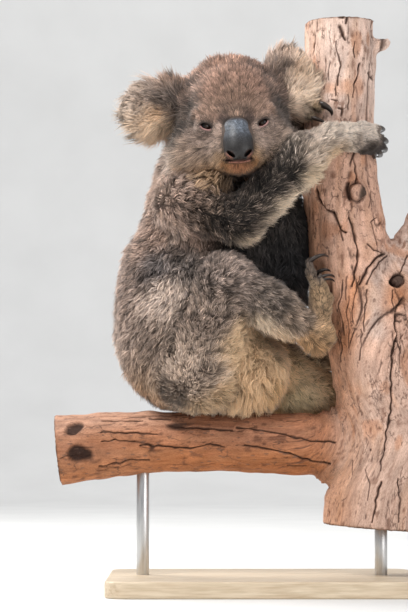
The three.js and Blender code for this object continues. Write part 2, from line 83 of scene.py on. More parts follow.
# ---- forms ----------------------------------------------------------------
def euler(turn):
    a, b, c = (math.radians(x) for x in turn)
    X = np.array([[1, 0, 0], [0, math.cos(a), -math.sin(a)], [0, math.sin(a), math.cos(a)]])
    Y = np.array([[math.cos(b), 0, math.sin(b)], [0, 1, 0], [-math.sin(b), 0, math.cos(b)]])
    Z = np.array([[math.cos(c), -math.sin(c), 0], [math.sin(c), math.cos(c), 0], [0, 0, 1]])
    return X @ Y @ Z


def ball(name, at, radii, turn=(0, 0, 0), blend=12, carve=False):
    return dict(name=name, at=np.array(at, float), radii=np.array(radii, float), rot=euler(turn), blend=blend, carve=carve)


def limb(name, a, ra, b, rb, blend=12):
    return dict(name=name, a=np.array(a, float), ra=ra, b=np.array(b, float), rb=rb, blend=blend, carve=False)


def digit(name, joints, r0, r1):
    n = len(joints) - 1
    return [limb(name, joints[i], r0 + (r1 - r0) * i / n, joints[i + 1], r0 + (r1 - r0) * (i + 1) / n, blend=5) for i in range(n)]


FORMS = {
    'torso': dict(shapes=[ball('rump', [-86.6, 0.0, 283.0], [84.4, 75.5, 92.1], blend=12),
        ball('mid_back', [-91.0, 0.0, 340.8], [76.6, 72.2, 84.4], blend=25),
        ball('shoulders', [-81.1, 0.0, 417.7], [56.6, 64.4, 66.6], blend=25),
        ball('belly', [-42.2, 0.0, 338.6], [66.6, 61.1, 88.8], blend=25),
        ball('groin', [-21.2, 0.0, 245.3], [58.8, 57.7, 53.3], blend=20),
        ball('chest', [2.6, 12.0, 393.0], [64.4, 48.8, 72.2], blend=20),
        ball('lap', [27.0, 8.0, 333.5], [33.3, 37.7, 46.6], blend=20),
        ball('breast', [-26.7, -8.0, 441.5], [40.0, 40.0, 37.7], blend=20)]),
    'neck': dict(shapes=[ball('neck', [-68.8, -10.0, 468.0], [50.0, 50.0, 46.6], blend=12),
        ball('bib', [-53.5, -64.0, 448.9], [28.9, 23.3, 21.1], blend=14)]),
    'head': dict(frame=dict(at=[-33.7, -45.0, 513.6], turn=[3.0, -4.0, 3.5]), shapes=[ball('cranium', [1.1, 8.9, 15.5], [62.2, 66.6, 63.3], blend=12),
        ball('cheek_r', [-35.5, -8.9, -24.4], [35.5, 44.4, 38.9], blend=20),
        ball('cheek_l', [35.5, -8.9, -24.4], [35.5, 44.4, 38.9], blend=20),
        ball('muzzle', [0.0, -51.1, -22.2], [30.0, 32.2, 28.9], blend=22),
        ball('chin', [0.0, -42.2, -44.4], [23.3, 26.6, 16.1], blend=16),
        ball('throat', [0.0, -5.6, -37.7], [46.6, 40.0, 27.8], blend=16),
        ball('brow_r', [-31.1, -42.2, 7.2], [18.9, 13.3, 11.1], blend=10),
        ball('brow_l', [26.6, -42.2, 7.2], [18.9, 13.3, 11.1], blend=10)]),
    'nose': dict(frame=dict(at=[-33.7, -45.0, 513.6], turn=[3.0, -4.0, 3.5]), shapes=[ball('bridge', [-0.6, -62.2, -10.5], [14.7, 12.2, 11.1], turn=(-28, 0, 0), blend=12),
        ball('pad', [-0.6, -69.9, -24.4], [16.5, 14.4, 20.5], turn=(-20, 0, 0), blend=8),
        ball('tip', [-0.6, -74.9, -36.6], [14.7, 10.0, 8.9], blend=8)]),
    'eye_r': dict(frame=dict(at=[-33.7, -45.0, 513.6], turn=[3.0, -4.0, 3.5]), shapes=[ball('eyeball', [-32.7, -50.5, -5.2], [8.0, 8.0, 8.0], blend=12)]),
    'eye_l': dict(frame=dict(at=[-33.7, -45.0, 513.6], turn=[3.0, -4.0, 3.5]), shapes=[ball('eyeball', [28.3, -50.5, -5.2], [8.0, 8.0, 8.0], blend=12)]),
    'ear_r': dict(frame=dict(at=[-33.7, -45.0, 513.6], turn=[3.0, -4.0, 3.5]), shapes=[ball('conch', [-86.0, 13.3, 20.0], [35.5, 17.8, 35.5], turn=(0, 10, 25), blend=8),
        ball('root', [-62.2, 13.3, 26.6], [30.0, 20.0, 30.0], blend=14),
        ball('cup', [-88.8, -8.9, 21.1], [22.2, 13.3, 23.3], turn=(0, 10, 25), blend=8, carve=True)]),
    'ear_l': dict(frame=dict(at=[-33.7, -45.0, 513.6], turn=[3.0, -4.0, 3.5]), shapes=[ball('conch', [70.5, 15.5, 41.1], [31.6, 17.8, 41.1], turn=(0, -12, -25), blend=8),
        ball('root', [53.3, 13.3, 32.2], [26.6, 20.0, 33.3], blend=14),
        ball('cup', [73.3, -6.7, 42.2], [20.0, 13.3, 24.4], turn=(0, -12, -25), blend=8, carve=True)]),
    'upper_arm_r': dict(shapes=[limb('humerus', [-84.0, -50.0, 424.1], 42.2, [-25.5, -76.0, 404.2], 30.0, blend=12)]),
    'forearm_r': dict(shapes=[limb('forearm', [-25.5, -76.0, 404.2], 30.0, [37.2, -76.0, 471.5], 27.2, blend=12),
        limb('wrist', [37.2, -76.0, 471.5], 27.2, [72.6, -64.0, 496.9], 19.4, blend=20)]),
    'upper_arm_l': dict(shapes=[limb('humerus', [-80.3, 50.0, 433.7], 40.0, [1.9, 70.0, 412.7], 31.1, blend=12)]),
    'forearm_l': dict(shapes=[limb('forearm', [1.9, 70.0, 412.7], 31.1, [34.4, 50.0, 474.7], 26.1, blend=12),
        limb('wrist', [34.4, 50.0, 474.7], 26.1, [40.1, 22.0, 516.7], 18.9, blend=20)]),
    'thigh_r': dict(shapes=[limb('thigh', [-73.1, -38.0, 241.1], 51.1, [-40.6, -68.0, 338.8], 36.6, blend=12)]),
    'shank_r': dict(shapes=[limb('shank', [-40.6, -68.0, 338.8], 36.6, [56.4, -50.0, 282.1], 22.2, blend=12),
        ball('calf', [7.8, -59.0, 310.5], [40.0, 33.3, 33.3], turn=(0, 30, 0), blend=14)]),
    'thigh_l': dict(shapes=[limb('thigh', [-68.9, 34.0, 247.3], 51.1, [1.4, 60.0, 268.4], 37.7, blend=12)]),
    'shank_l': dict(shapes=[limb('shank', [1.4, 60.0, 268.4], 37.7, [67.2, 40.0, 218.2], 26.6, blend=12),
        ball('calf', [34.4, 50.0, 226.3], [46.6, 33.3, 38.9], turn=(0, 30, 0), blend=14)]),
}
EXTREMITIES = {
    'hand_r': dict(pad=[ball('palm', [89.2, -59.0, 497.5], [22.2, 13.3, 17.8], turn=(0, 0, -12), blend=8),
              limb('wrist', [72.5, -64.0, 494.7], 18.3, [85.8, -60.0, 496.3], 15.5, blend=8)],
        digits=[('d1', [[88.2, -58.0, 506.4], [108.0, -54.0, 509.7], [125.8, -35.0, 509.4]], 8.3, 7.1),
                ('d2', [[96.9, -58.0, 503.1], [117.0, -50.0, 504.1], [131.0, -24.0, 499.7]], 8.9, 6.9),
                ('d3', [[99.0, -58.0, 495.5], [120.6, -46.0, 495.8], [132.5, -18.0, 491.5]], 8.9, 7.1),
                ('d4', [[99.0, -58.0, 490.0], [117.3, -46.0, 489.2], [126.7, -22.0, 486.6]], 8.9, 7.1),
                ('d5', [[92.5, -58.0, 486.7], [108.1, -52.0, 484.1], [119.3, -32.0, 484.3]], 8.3, 6.7)],
        claws=[('hand_r_claw_1', [[128.2, -33.0, 510.2], [133.9, -23.0, 509.3], [130.8, -12.0, 506.8]], 3.3),
               ('hand_r_claw_2', [[133.5, -20.0, 499.1], [138.3, -8.0, 497.2], [133.1, 4.0, 495.3]], 3.8),
               ('hand_r_claw_3', [[135.0, -14.0, 489.8], [137.1, -2.0, 487.9], [131.1, 8.0, 486.8]], 3.8),
               ('hand_r_claw_4', [[128.6, -19.0, 484.8], [131.6, -8.0, 482.2], [126.3, 3.0, 481.8]], 3.8),
               ('hand_r_claw_5', [[121.2, -29.0, 482.5], [124.1, -19.0, 479.2], [119.2, -10.0, 478.0]], 3.6)]),
    'hand_l': dict(pad=[ball('palm', [38.5, 8.0, 528.4], [13.3, 22.2, 17.8], turn=(0, 0, 10), blend=8),
              limb('wrist', [39.0, 22.0, 517.8], 17.8, [38.7, 14.0, 524.7], 14.4, blend=8)],
        digits=[('d1', [[42.5, -4.0, 540.2], [50.3, -28.0, 535.2], [61.8, -42.0, 530.0]], 8.9, 8.4),
                ('d2', [[42.5, -4.0, 529.0], [48.2, -26.0, 522.7], [55.4, -37.0, 519.1]], 8.3, 6.9),
                ('d3', [[43.6, 24.0, 541.9], [53.5, 42.0, 546.6], [72.0, 50.0, 545.5]], 8.9, 7.1),
                ('d4', [[43.7, 26.0, 531.9], [53.6, 46.0, 534.6], [73.3, 53.0, 533.3]], 8.9, 7.1),
                ('d5', [[43.7, 26.0, 521.8], [51.1, 42.0, 521.6], [67.5, 52.0, 520.6]], 8.3, 6.7)],
        claws=[('hand_l_claw_1', [[66.0, -45.0, 532.9], [73.0, -46.5, 528.8], [75.4, -42.5, 521.6]], 4.7),
               ('hand_l_claw_2', [[58.5, -40.0, 518.7], [65.0, -42.0, 516.2], [70.2, -38.0, 512.8]], 3.6),
               ('hand_l_claw_3', [[75.4, 50.0, 544.3], [83.3, 50.0, 540.9], [88.7, 44.0, 534.4]], 4.0),
               ('hand_l_claw_4', [[76.7, 53.0, 532.2], [84.6, 52.0, 528.6], [89.9, 46.0, 522.1]], 4.0),
               ('hand_l_claw_5', [[70.9, 52.0, 519.4], [78.8, 51.0, 514.7], [84.2, 46.0, 508.4]], 3.6)]),
    'foot_r': dict(pad=[ball('sole', [61.8, -52.0, 313.6], [14.4, 18.9, 33.3], turn=(0, -3, 30), blend=10),
              ball('heel', [62.9, -50.0, 281.0], [18.9, 20.0, 17.8], blend=10)],
        digits=[('d1', [[57.1, -58.0, 294.8], [63.5, -62.0, 309.8], [73.5, -58.0, 320.9]], 7.8, 6.2),
                ('d2', [[61.3, -62.0, 327.2], [62.4, -64.0, 335.7], [61.4, -62.0, 343.5]], 7.2, 5.6),
                ('d4', [[56.3, -54.0, 332.0], [51.9, -56.0, 347.1], [49.7, -58.0, 359.0]], 8.9, 6.9),
                ('d5', [[62.1, -46.0, 328.1], [59.1, -42.0, 337.1], [55.9, -40.0, 346.0]], 8.3, 6.2)],
        claws=[('foot_r_claw_2', [[63.6, -62.0, 343.5], [71.3, -60.0, 345.8], [78.3, -50.0, 343.2]], 2.9),
               ('foot_r_claw_3', [[61.7, -56.0, 339.5], [70.5, -54.0, 341.8], [78.6, -45.0, 339.1]], 2.9),
               ('foot_r_claw_4', [[51.9, -58.0, 361.2], [61.5, -60.0, 367.0], [72.2, -44.0, 366.0]], 4.0),
               ('foot_r_claw_5', [[58.1, -40.0, 347.1], [65.5, -46.0, 352.2], [74.5, -40.0, 350.4]], 3.8)]),
    'foot_l': dict(pad=[ball('sole', [67.6, 44.0, 273.5], [16.7, 18.9, 33.3], turn=(0, -3, -30), blend=10),
              ball('heel', [71.7, 40.0, 222.7], [20.0, 20.0, 20.0], blend=10)],
        digits=[('d1', [[64.5, 52.0, 259.1], [69.7, 64.0, 277.6], [81.0, 62.0, 288.9]], 7.8, 6.2),
                ('d2', [[69.8, 42.0, 294.9], [68.7, 42.0, 306.1], [73.3, 44.0, 315.3]], 6.7, 5.6),
                ('d4', [[63.2, 46.0, 295.0], [61.1, 48.0, 311.0], [63.6, 52.0, 322.5]], 8.3, 6.7),
                ('d5', [[58.2, 36.0, 292.3], [52.5, 32.0, 307.9], [52.2, 26.0, 318.8]], 7.8, 6.2)],
        claws=[('foot_l_claw_2', [[73.4, 46.0, 314.3], [80.4, 50.0, 315.6], [86.0, 48.0, 311.0]], 2.9),
               ('foot_l_claw_3', [[73.2, 42.0, 319.7], [80.2, 45.0, 322.1], [85.6, 42.0, 318.6]], 2.9),
               ('foot_l_claw_4', [[64.8, 53.0, 323.7], [72.9, 56.0, 328.4], [79.4, 51.0, 325.8]], 4.0),
               ('foot_l_claw_5', [[54.4, 25.0, 321.0], [61.1, 23.0, 325.4], [65.4, 21.0, 321.9]], 3.8)]),
}
TRUNK = [
    [88.1, 0.0, 632.9, 37.7],
    [88.5, 0.0, 590.2, 37.7],
    [85.6, 0.0, 545.3, 38.3],
    [86.0, 0.0, 489.2, 39.4],
    [89.2, 0.0, 433.3, 42.2],
    [96.8, 0.0, 377.6, 43.8],
    [111.0, 0.0, 321.9, 48.3],
    [127.5, 0.0, 266.4, 51.1],
    [136.1, 0.0, 211.0, 53.3],
    [137.0, 0.0, 155.7, 56.6],
    [132.3, 0.0, 100.5, 59.9],
    [130.0, 0.0, 69.7, 62.2],
]
BRANCH = [
    [-226.2, 4.0, 155.7, 39.4],
    [-179.6, 4.0, 160.6, 36.1],
    [-124.2, 4.0, 165.6, 33.3],
    [-68.8, 4.0, 166.2, 32.2],
    [-13.4, 4.0, 165.1, 32.7],
    [42.0, 4.0, 162.8, 33.3],
    [91.9, 4.0, 161.2, 34.4],
    [136.2, 4.0, 160.1, 33.3],
]
SIDE_LIMB = [
    [136.7, 2.0, 310.9, 33.3],
    [159.1, 2.0, 349.9, 31.1],
    [178.1, 2.0, 383.3, 28.9],
    [193.9, 2.0, 416.8, 27.8],
]
HEAD = FORMS["head"]["frame"]
HEAD_AT, HEAD_ROT = np.array(HEAD["at"], float), euler(HEAD["turn"])
to_head = lambda p: (p - HEAD_AT) @ HEAD_ROT
from_head = lambda q: q @ HEAD_ROT.T + HEAD_AT
HL = lambda a, b, c: np.array([a * PX, -c * PX, b * PX])  # across, up, forward in picture units


def shape_d(s, p):
    if "radii" in s:
        q = (p - s["at"]) @ s["rot"]
        r = s["radii"]
        k0 = np.sqrt(((q / r) ** 2).sum(1))
        k1 = np.sqrt(((q / (r * r)) ** 2).sum(1))
        return k0 * (k0 - 1) / np.maximum(k1, 1e-9)
    a, ba = s["a"], s["b"] - s["a"]
    h = np.clip((p - a) @ ba / (ba @ ba), 0, 1)
    return np.sqrt(((p - a - h[:, None] * ba) ** 2).sum(1)) - (s["ra"] + (s["rb"] - s["ra"]) * h)


def smin(a, b, k):
    h = np.maximum(k - np.abs(a - b), 0) / k
    return np.minimum(a, b) - h * h * k / 4


def shapes_d(shapes, p):
    d = None
    for s in shapes:
        e = shape_d(s, p)
        if d is None:
            d = e
        elif s["carve"]:
            d = -smin(-d, e, s["blend"])
        else:
            d = smin(d, e, s["blend"])
    return d


# The flesh, part by part: its shapes, the coat's depth on it, and how softly it joins what comes before it.
DEPTH = dict(torso=13.5, neck=14, head=8, ear_r=6.5, ear_l=6.5, upper_arm_r=12, upper_arm_l=12, forearm_r=9.5, forearm_l=9.5,
             thigh_r=12, thigh_l=12, shank_r=10, shank_l=10, hand_r=3.8, hand_l=3.8, foot_r=3.8, foot_l=3.8)
JOIN = dict(torso=1, neck=24, head=12, ear_r=12, ear_l=12, upper_arm_r=16, upper_arm_l=16, forearm_r=11, forearm_l=11,
            thigh_r=20, thigh_l=20, shank_r=11, shank_l=11, hand_r=9, hand_l=9, foot_r=8, foot_l=8)
ORDER = list(JOIN)
PARTS = {}
for name in ORDER:
    if name in FORMS:
        f = FORMS[name]
        PARTS[name] = dict(frame=f.get("frame"), groups=[f["shapes"]])
    else:
        e = EXTREMITIES[name]
        PARTS[name] = dict(frame=None, groups=[e["pad"]] + [digit(*d) for d in e["digits"]])
for name, part in PARTS.items():
    pts = []
    for g in part["groups"]:
        for s in g:
            if "radii" in s:
                c = s["at"]
                if part["frame"]:
                    c = euler(part["frame"]["turn"]) @ c + np.array(part["frame"]["at"])
                pts += [(c, max(s["radii"]))]
            else:
                pts += [(s["a"], s["ra"]), (s["b"], s["rb"])]
    mid = np.mean([c for c, _ in pts], 0)
    part["mid"], part["reach"] = mid, max(np.linalg.norm(c - mid) + r for c, r in pts)
    if part["frame"]:
        part["M"], part["o"] = euler(part["frame"]["turn"]), np.array(part["frame"]["at"], float)


def part_d(part, p):
    if part["frame"]:
        p = (p - part["o"]) @ part["M"]
    d = shapes_d(part["groups"][0], p)
    for g in part["groups"][1:]:
        d = smin(d, shapes_d(g, p), 5)
    return d


# ---- the face's fine forms, in the head's own frame --------------------------
EYE_R = 8.0
EYE_C = {"r": HL(-29.5, -4.7, 45.5), "l": HL(25.5, -4.7, 45.5)}
SLANT = {"r": 26.0, "l": -30.0}
LIDS = []
for s in "rl":
    c = EYE_C[s]
    LIDS.append(dict(side=s, ball=ball("lid", c, (EYE_R + 2.6,) * 3),
                     slit=ball("slit", c + np.array([0, -6.5, -1.2]), (5.8, 8.0, 3.0), turn=(0, SLANT[s], 0)),
                     hood=ball("hood", c + np.array([0, -4.6, 5.2]), (9.5, 5.2, 3.2), turn=(0, SLANT[s], 0)),
                     bag=ball("bag", c + np.array([0, -3.0, -6.5]), (9.0, 6.0, 3.0), turn=(0, SLANT[s] * 0.7, 0))))
MOUTH_AT, MOUTH_HALF = HL(0, -41.0, 50), 16.0


def mouth_d(q, d):
    """The line of the shut mouth: a thin curved sheet just under the skin, d deep."""
    x = q[:, 0] - MOUTH_AT[0]
    z = MOUTH_AT[2] + 0.010 * x * x
    return np.max([np.abs(q[:, 2] - z) - 0.55, np.abs(x) - MOUTH_HALF, -d - 3.0, q[:, 1] + 42], 0)


NOSE = FORMS["nose"]["shapes"]


def smooth_step(a, b, x):
    t = np.clip((x - a) / (b - a), 0, 1)
    return t * t * (3 - 2 * t)


def head_depth(q):
    """How deep the coat is over the head, from the head's own place."""
    front = smooth_step(18, 46, -q[:, 1])
    low = smooth_step(-10, -38, q[:, 2])
    side = smooth_step(30, 52, np.abs(q[:, 0]))
    d = 9.5 - 5.5 * front + 3.0 * low * (1 - front) + 2.0 * side * (1 - front)
    return np.clip(d, 3.6, 14)


def ear_rim(q, name):
    """0 over an ear's faces to 1 along its edge."""
    c, r = (HL(-77.5, 18, -12), (32, 32)) if name == "ear_r" else (HL(63.5, 37, -14), (28.5, 37))
    tilt = math.radians(10 if name == "ear_r" else -12)
    x, z = (q[:, 0] - c[0]) / PX, (q[:, 2] - c[2]) / PX
    x, z = x * math.cos(tilt) - z * math.sin(tilt), x * math.sin(tilt) + z * math.cos(tilt)
    return smooth_step(0.50, 0.92, np.hypot(x / r[0], z / r[1]))


def weights_of(D, width=7.0):
    m = D.min(1, keepdims=True)
    w = np.exp(-(D - m) / width)
    return w / w.sum(1, keepdims=True)


def flesh(p, names, fine=True):
    """Distance to the skin from the parts named, negative inside, and each part's own distance to the coat's outline."""
    ds = [part_d(PARTS[n], p) for n in names]
    d = None
    for n, e in zip(names, ds):
        d = e if d is None else smin(d, e, JOIN[n])
    D = np.stack(ds, 1)
    w = weights_of(D)
    q = to_head(p)
    deep = np.zeros(len(p))
    for i, n in enumerate(names):
        deep += w[:, i] * (head_depth(q) if n == "head" else 5.0 + 7.0 * ear_rim(q, n) if n in ("ear_r", "ear_l") else DEPTH[n])
    d = d + deep
    if fine and "head" in names and ((q[:, 1] < -20) & (np.abs(q[:, 0]) < 60)).any():
        for L in LIDS:
            d = smin(d, shape_d(L["bag"], q), 6)
            d = smin(d, shape_d(L["ball"], q), 5)
            d = smin(d, shape_d(L["hood"], q), 3)
            d = -smin(-d, shape_d(L["slit"], q), 1.0)
        d = -smin(-d, mouth_d(q, d), 1.2)
    return d, D


# ---- the wood, as one surface ----------------------------------------------------
WOOD = [TRUNK, BRANCH, SIDE_LIMB]
KNOBS = [ball("twig_stub", W(379, -4, 45), (12, 9, 7), turn=(0, -20, 0)), ball("knot", W(357, -36, 192), (11, 8, 12)), ball("swell", W(338, -30, 108), (9, 9, 8)),
         ball("elbow", W(372, -10, 300), (26, 30, 34)), ball("branch_foot", W(335, 0, 448), (34, 34, 40))]


def chain_d(rows, p):
    d, along, best = None, np.zeros(len(p)), np.full(len(p), 1e9)
    for a, b in zip(rows[:-1], rows[1:]):
        s = limb("seg", a[:3], a[3], b[:3], b[3])
        e = shape_d(s, p)
        d = e if d is None else smin(d, e, 4)
    return d


CUTS = []
for rows in WOOD:
    for a, b in ((rows[0], rows[1]), (rows[-1], rows[-2])):
        a, b = np.array(a[:3]), np.array(b[:3])
        CUTS.append((a, (a - b) / np.linalg.norm(a - b)))
TOP, FOOT, BR_END, _, _, LB_END = CUTS


def wood_d(p):
    t = np.maximum(chain_d(TRUNK, p), np.maximum((p - TOP[0]) @ TOP[1], (p - FOOT[0]) @ FOOT[1]))
    b = np.maximum(chain_d(BRANCH, p), (p - BR_END[0]) @ BR_END[1])
    l = np.maximum(chain_d(SIDE_LIMB, p), (p - LB_END[0]) @ LB_END[1])
    d = smin(smin(t, b, 16), l, 14)
    for k in KNOBS:
        d = smin(d, shape_d(k, p), 8)
    return d


def evaluate(p, cell=34.0, fine=True, want_parts=False):
    """flesh() at any points, with only the parts that are near."""
    out = np.empty(len(p))
    parts = np.full((len(p), len(ORDER)), 60.0) if want_parts else None
    key = np.floor(p / cell).astype(np.int64)
    code = (key[:, 0] + 500) * 1000000 + (key[:, 1] + 500) * 1000 + key[:, 2] + 500
    order = np.argsort(code, kind="stable")
    edges = np.flatnonzero(np.diff(code[order])) + 1
    for idx in np.split(order, edges):
        c = (key[idx[0]] + 0.5) * cell
        names = [n for n in ORDER if np.linalg.norm(PARTS[n]["mid"] - c) < PARTS[n]["reach"] + cell * 0.87 + 30]
        if not names:
            out[idx] = 60.0
            continue
        d, D = flesh(p[idx], names, fine)
        if np.linalg.norm(c - np.array([90, 0, c[2]])) < 110 or c[2] < 235:
            d = np.maximum(d, 0.8 - wood_d(p[idx]))
        out[idx] = d
        if want_parts:
            parts[np.ix_(idx, [ORDER.index(n) for n in names])] = D
    return (out, parts) if want_parts else out


def gradient(f, p, h=0.4):
    g = np.stack([f(p + np.eye(3)[i] * h) - f(p - np.eye(3)[i] * h) for i in range(3)], 1)
    return g / (np.linalg.norm(g, axis=1, keepdims=True) + 1e-12)


def grid_field(f, lo, hi, h, block=16):
    """f on a grid, skipping blocks that the surface doesn't reach."""
    n = [int(math.ceil((hi[i] - lo[i]) / h / block)) * block + 1 for i in range(3)]
    V = np.full(n, 30.0, np.float32)
    nb = [(k - 1) // block for k in n]
    B = np.stack(np.meshgrid(*[np.arange(b) for b in nb], indexing="ij"), -1).reshape(-1, 3)
    mid = np.array(lo) + (B + 0.5) * block * h
    fm = f(mid)
    near = np.abs(fm) < block * h * 0.95 + 6
    for b, v in zip(B[~near & (fm < 0)], fm[~near & (fm < 0)]):
        i, j, k = b * block
        V[i:i + block + 1, j:j + block + 1, k:k + block + 1] = -30
    off = np.stack(np.meshgrid(*[np.arange(block + 1)] * 3, indexing="ij"), -1).reshape(-1, 3)
    todo = B[near]
    for s in range(0, len(todo), 64):
        bs = todo[s:s + 64]
        ijk = (bs[:, None, :] * block + off[None]).reshape(-1, 3)
        V[ijk[:, 0], ijk[:, 1], ijk[:, 2]] = f(np.array(lo) + ijk * h)
    return V


def nets(V, lo, h):
    """Surface nets of V < 0: vertices, and quads facing out."""
    n = V.shape
    ins = V < 0
    cnt = sum(ins[i:n[0] - 1 + i, j:n[1] - 1 + j, k:n[2] - 1 + k].astype(np.int8) for i in (0, 1) for j in (0, 1) for k in (0, 1))
    act = (cnt > 0) & (cnt < 8)
    idx = -np.ones(act.shape, np.int64)
    idx[act] = np.arange(act.sum())
    cells = np.argwhere(act)
    acc, num = np.zeros((len(cells), 3)), np.zeros(len(cells))
    for axis in range(3):
        oth = [i for i in range(3) if i != axis]
        for a, b in ((0, 0), (0, 1), (1, 0), (1, 1)):
            d0 = [0, 0, 0]
            d0[oth[0]], d0[oth[1]] = a, b
            d1 = list(d0)
            d1[axis] = 1
            p0, p1 = cells + d0, cells + d1
            v0, v1 = V[p0[:, 0], p0[:, 1], p0[:, 2]], V[p1[:, 0], p1[:, 1], p1[:, 2]]
            m = (v0 < 0) != (v1 < 0)
            t = np.where(m, v0 / np.where(m, v0 - v1, 1), 0)
            acc += (p0 + (p1 - p0) * t[:, None]) * m[:, None]
            num += m
    verts = np.array(lo) + h * acc / num[:, None]
    quads = []
    for axis in range(3):
        oth = [i for i in range(3) if i != axis]
        s0, s1 = [slice(None)] * 3, [slice(None)] * 3
        s0[axis], s1[axis] = slice(0, n[axis] - 1), slice(1, n[axis])
        for o in oth:
            s0[o] = s1[o] = slice(1, n[o] - 1)
        e0, e1 = ins[tuple(s0)], ins[tuple(s1)]
        ed = np.argwhere(e0 != e1)
        if not len(ed):
            continue
        base = ed.copy()
        for o in oth:
            base[:, o] += 1
        flip = e0[ed[:, 0], ed[:, 1], ed[:, 2]]

        def cell(da, db):
            q = base.copy()
            q[:, oth[0]] -= da
            q[:, oth[1]] -= db
            return idx[q[:, 0], q[:, 1], q[:, 2]]
        q = np.stack([cell(1, 1), cell(0, 1), cell(0, 0), cell(1, 0)], 1)
        sign = flip if axis != 1 else ~flip
        q[~sign] = q[~sign][:, ::-1]
        quads.append(q)
    return verts, np.concatenate(quads)


def settle(f, v, times=2, most=0.6):
    for _ in range(times):
        d = f(v)
        g = gradient(f, v)
        v = v - g * np.clip(d, -most, most)[:, None]
    return v


# ---- noise ------------------------------------------------------------------
def _hash(i, seed):
    x = (i[..., 0].astype(np.uint64) * np.uint64(73856093)) ^ (i[..., 1].astype(np.uint64) * np.uint64(19349663)) ^ (i[..., 2].astype(np.uint64) * np.uint64(83492791)) ^ np.uint64(seed * 2654435761 % 4294967296)
    x = (x ^ (x >> np.uint64(13))) * np.uint64(1274126177) & np.uint64(0xFFFFFFFF)
    x = (x ^ (x >> np.uint64(16))) * np.uint64(2246822519) & np.uint64(0xFFFFFFFF)
    return (x ^ (x >> np.uint64(15))).astype(np.float64) / 4294967295.0


def noise(p, size, seed=0):
    """Smooth value noise from -1 to 1 with features about size mm across."""
    q = p / size + 1000.0
    i = np.floor(q).astype(np.int64)
    f = q - i
    f = f * f * (3 - 2 * f)
    out = 0
    for a in (0, 1):
        for b in (0, 1):
            for c in (0, 1):
                w = (f[:, 0] if a else 1 - f[:, 0]) * (f[:, 1] if b else 1 - f[:, 1]) * (f[:, 2] if c else 1 - f[:, 2])
                out = out + w * _hash(i + np.array([a, b, c]), seed)
    return out * 2 - 1


def fbm(p, size, seed=0, octaves=3):
    return sum(noise(p, size / 2 ** k, seed + 11 * k) / 2 ** k for k in range(octaves)) / 1.75


def srgb(*c):
    c = np.array(c, float) / 255
    return np.where(c <= 0.04045, c / 12.92, ((c + 0.055) / 1.055) ** 2.4)


# ---- meshes -------------------------------------------------------------------
def make(name, v, faces, colour=None, smooth=True, normals=None):
    """A Blender object from points in mm and triangles or quads."""
    v, faces = np.asarray(v, np.float64) * MM, np.asarray(faces, np.int32)
    me = bpy.data.meshes.new(name)
    k = faces.shape[1]
    me.vertices.add(len(v))
    me.vertices.foreach_set("co", v.ravel())
    me.loops.add(faces.size)
    me.loops.foreach_set("vertex_index", faces.ravel())
    me.polygons.add(len(faces))
    me.polygons.foreach_set("loop_start", np.arange(0, faces.size, k, dtype=np.int32))
    me.update(calc_edges=True)
    me.polygons.foreach_set("use_smooth", np.full(len(faces), smooth))
    if colour is not None:
        a = me.color_attributes.new("Col", "FLOAT_COLOR", "POINT")
        a.data.foreach_set("color", np.column_stack([colour, np.ones(len(v))]).astype(np.float32).ravel())
    if normals is not None:
        me.normals_split_custom_set_from_vertices(normals)
    ob = bpy.data.objects.new(name, me)
    bpy.context.collection.objects.link(ob)
    return ob


def place(ob, slot, *nodes):
    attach(ob, "root")
    if nodes:
        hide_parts(*nodes)
    return ob


def material(name, rough=0.6, metal=0.0, **inputs):
    m = bpy.data.materials.new(name)
    m.use_nodes = True
    nt = m.node_tree
    b = nt.nodes["Principled BSDF"]
    b.inputs["Roughness"].default_value = rough
    b.inputs["Metallic"].default_value = metal
    for k, x in inputs.items():
        b.inputs[k.replace("_", " ")].default_value = x
    return m, nt, b


def node(nt, kind, **props):
    n = nt.nodes.new(kind)
    for k, x in props.items():
        if k in n.inputs:
            n.inputs[k].default_value = x
        else:
            setattr(n, k, x)
    return n


def mix_rgb(nt, a, b, fac, blend="MIX"):
    n = nt.nodes.new("ShaderNodeMix")
    n.data_type, n.blend_type = "RGBA", blend
    for sock, x in (("A", a), ("B", b), ("Factor", fac)):
        s = [i for i in n.inputs if i.name == sock and (sock == "Factor" and i.type == "VALUE" or i.type == "RGBA")][0]
        if isinstance(x, bpy.types.NodeSocket):
            nt.links.new(x, s)
        else:
            s.default_value = x
    return [o for o in n.outputs if o.type == "RGBA"][0]


def ramp(nt, x, *stops):
    r = nt.nodes.new("ShaderNodeValToRGB")
    e = r.color_ramp.elements
    while len(e) < len(stops):
        e.new(0.5)
    for el, (at, c) in zip(e, stops):
        el.position, el.color = at, (*c, 1) if len(c) == 3 else c
    nt.links.new(x, r.inputs[0])
    return r.outputs[0]


def object_noise(nt, scale, detail=3.0, stretch=(1, 1, 1), kind="ShaderNodeTexNoise"):
    tc = nt.nodes.new("ShaderNodeTexCoord")
    mp = nt.nodes.new("ShaderNodeMapping")
    mp.inputs["Scale"].default_value = stretch
    nt.links.new(tc.outputs["Object"], mp.inputs["Vector"])
    n = nt.nodes.new(kind)
    n.inputs["Scale"].default_value = scale
    if "Detail" in n.inputs:
        n.inputs["Detail"].default_value = detail
    nt.links.new(mp.outputs[0], n.inputs["Vector"])
    return n


def bump(nt, b, height, distance=0.001, strength=0.5):
    n = nt.nodes.new("ShaderNodeBump")
    n.inputs["Strength"].default_value = strength
    n.inputs["Distance"].default_value = distance
    nt.links.new(height, n.inputs["Height"])
    nt.links.new(n.outputs[0], b.inputs["Normal"])


def col_attr(nt):
    a = nt.nodes.new("ShaderNodeAttribute")
    a.attribute_name = "Col"
    return a.outputs["Color"]


WHITE, BLACK = (1, 1, 1), (0, 0, 0)


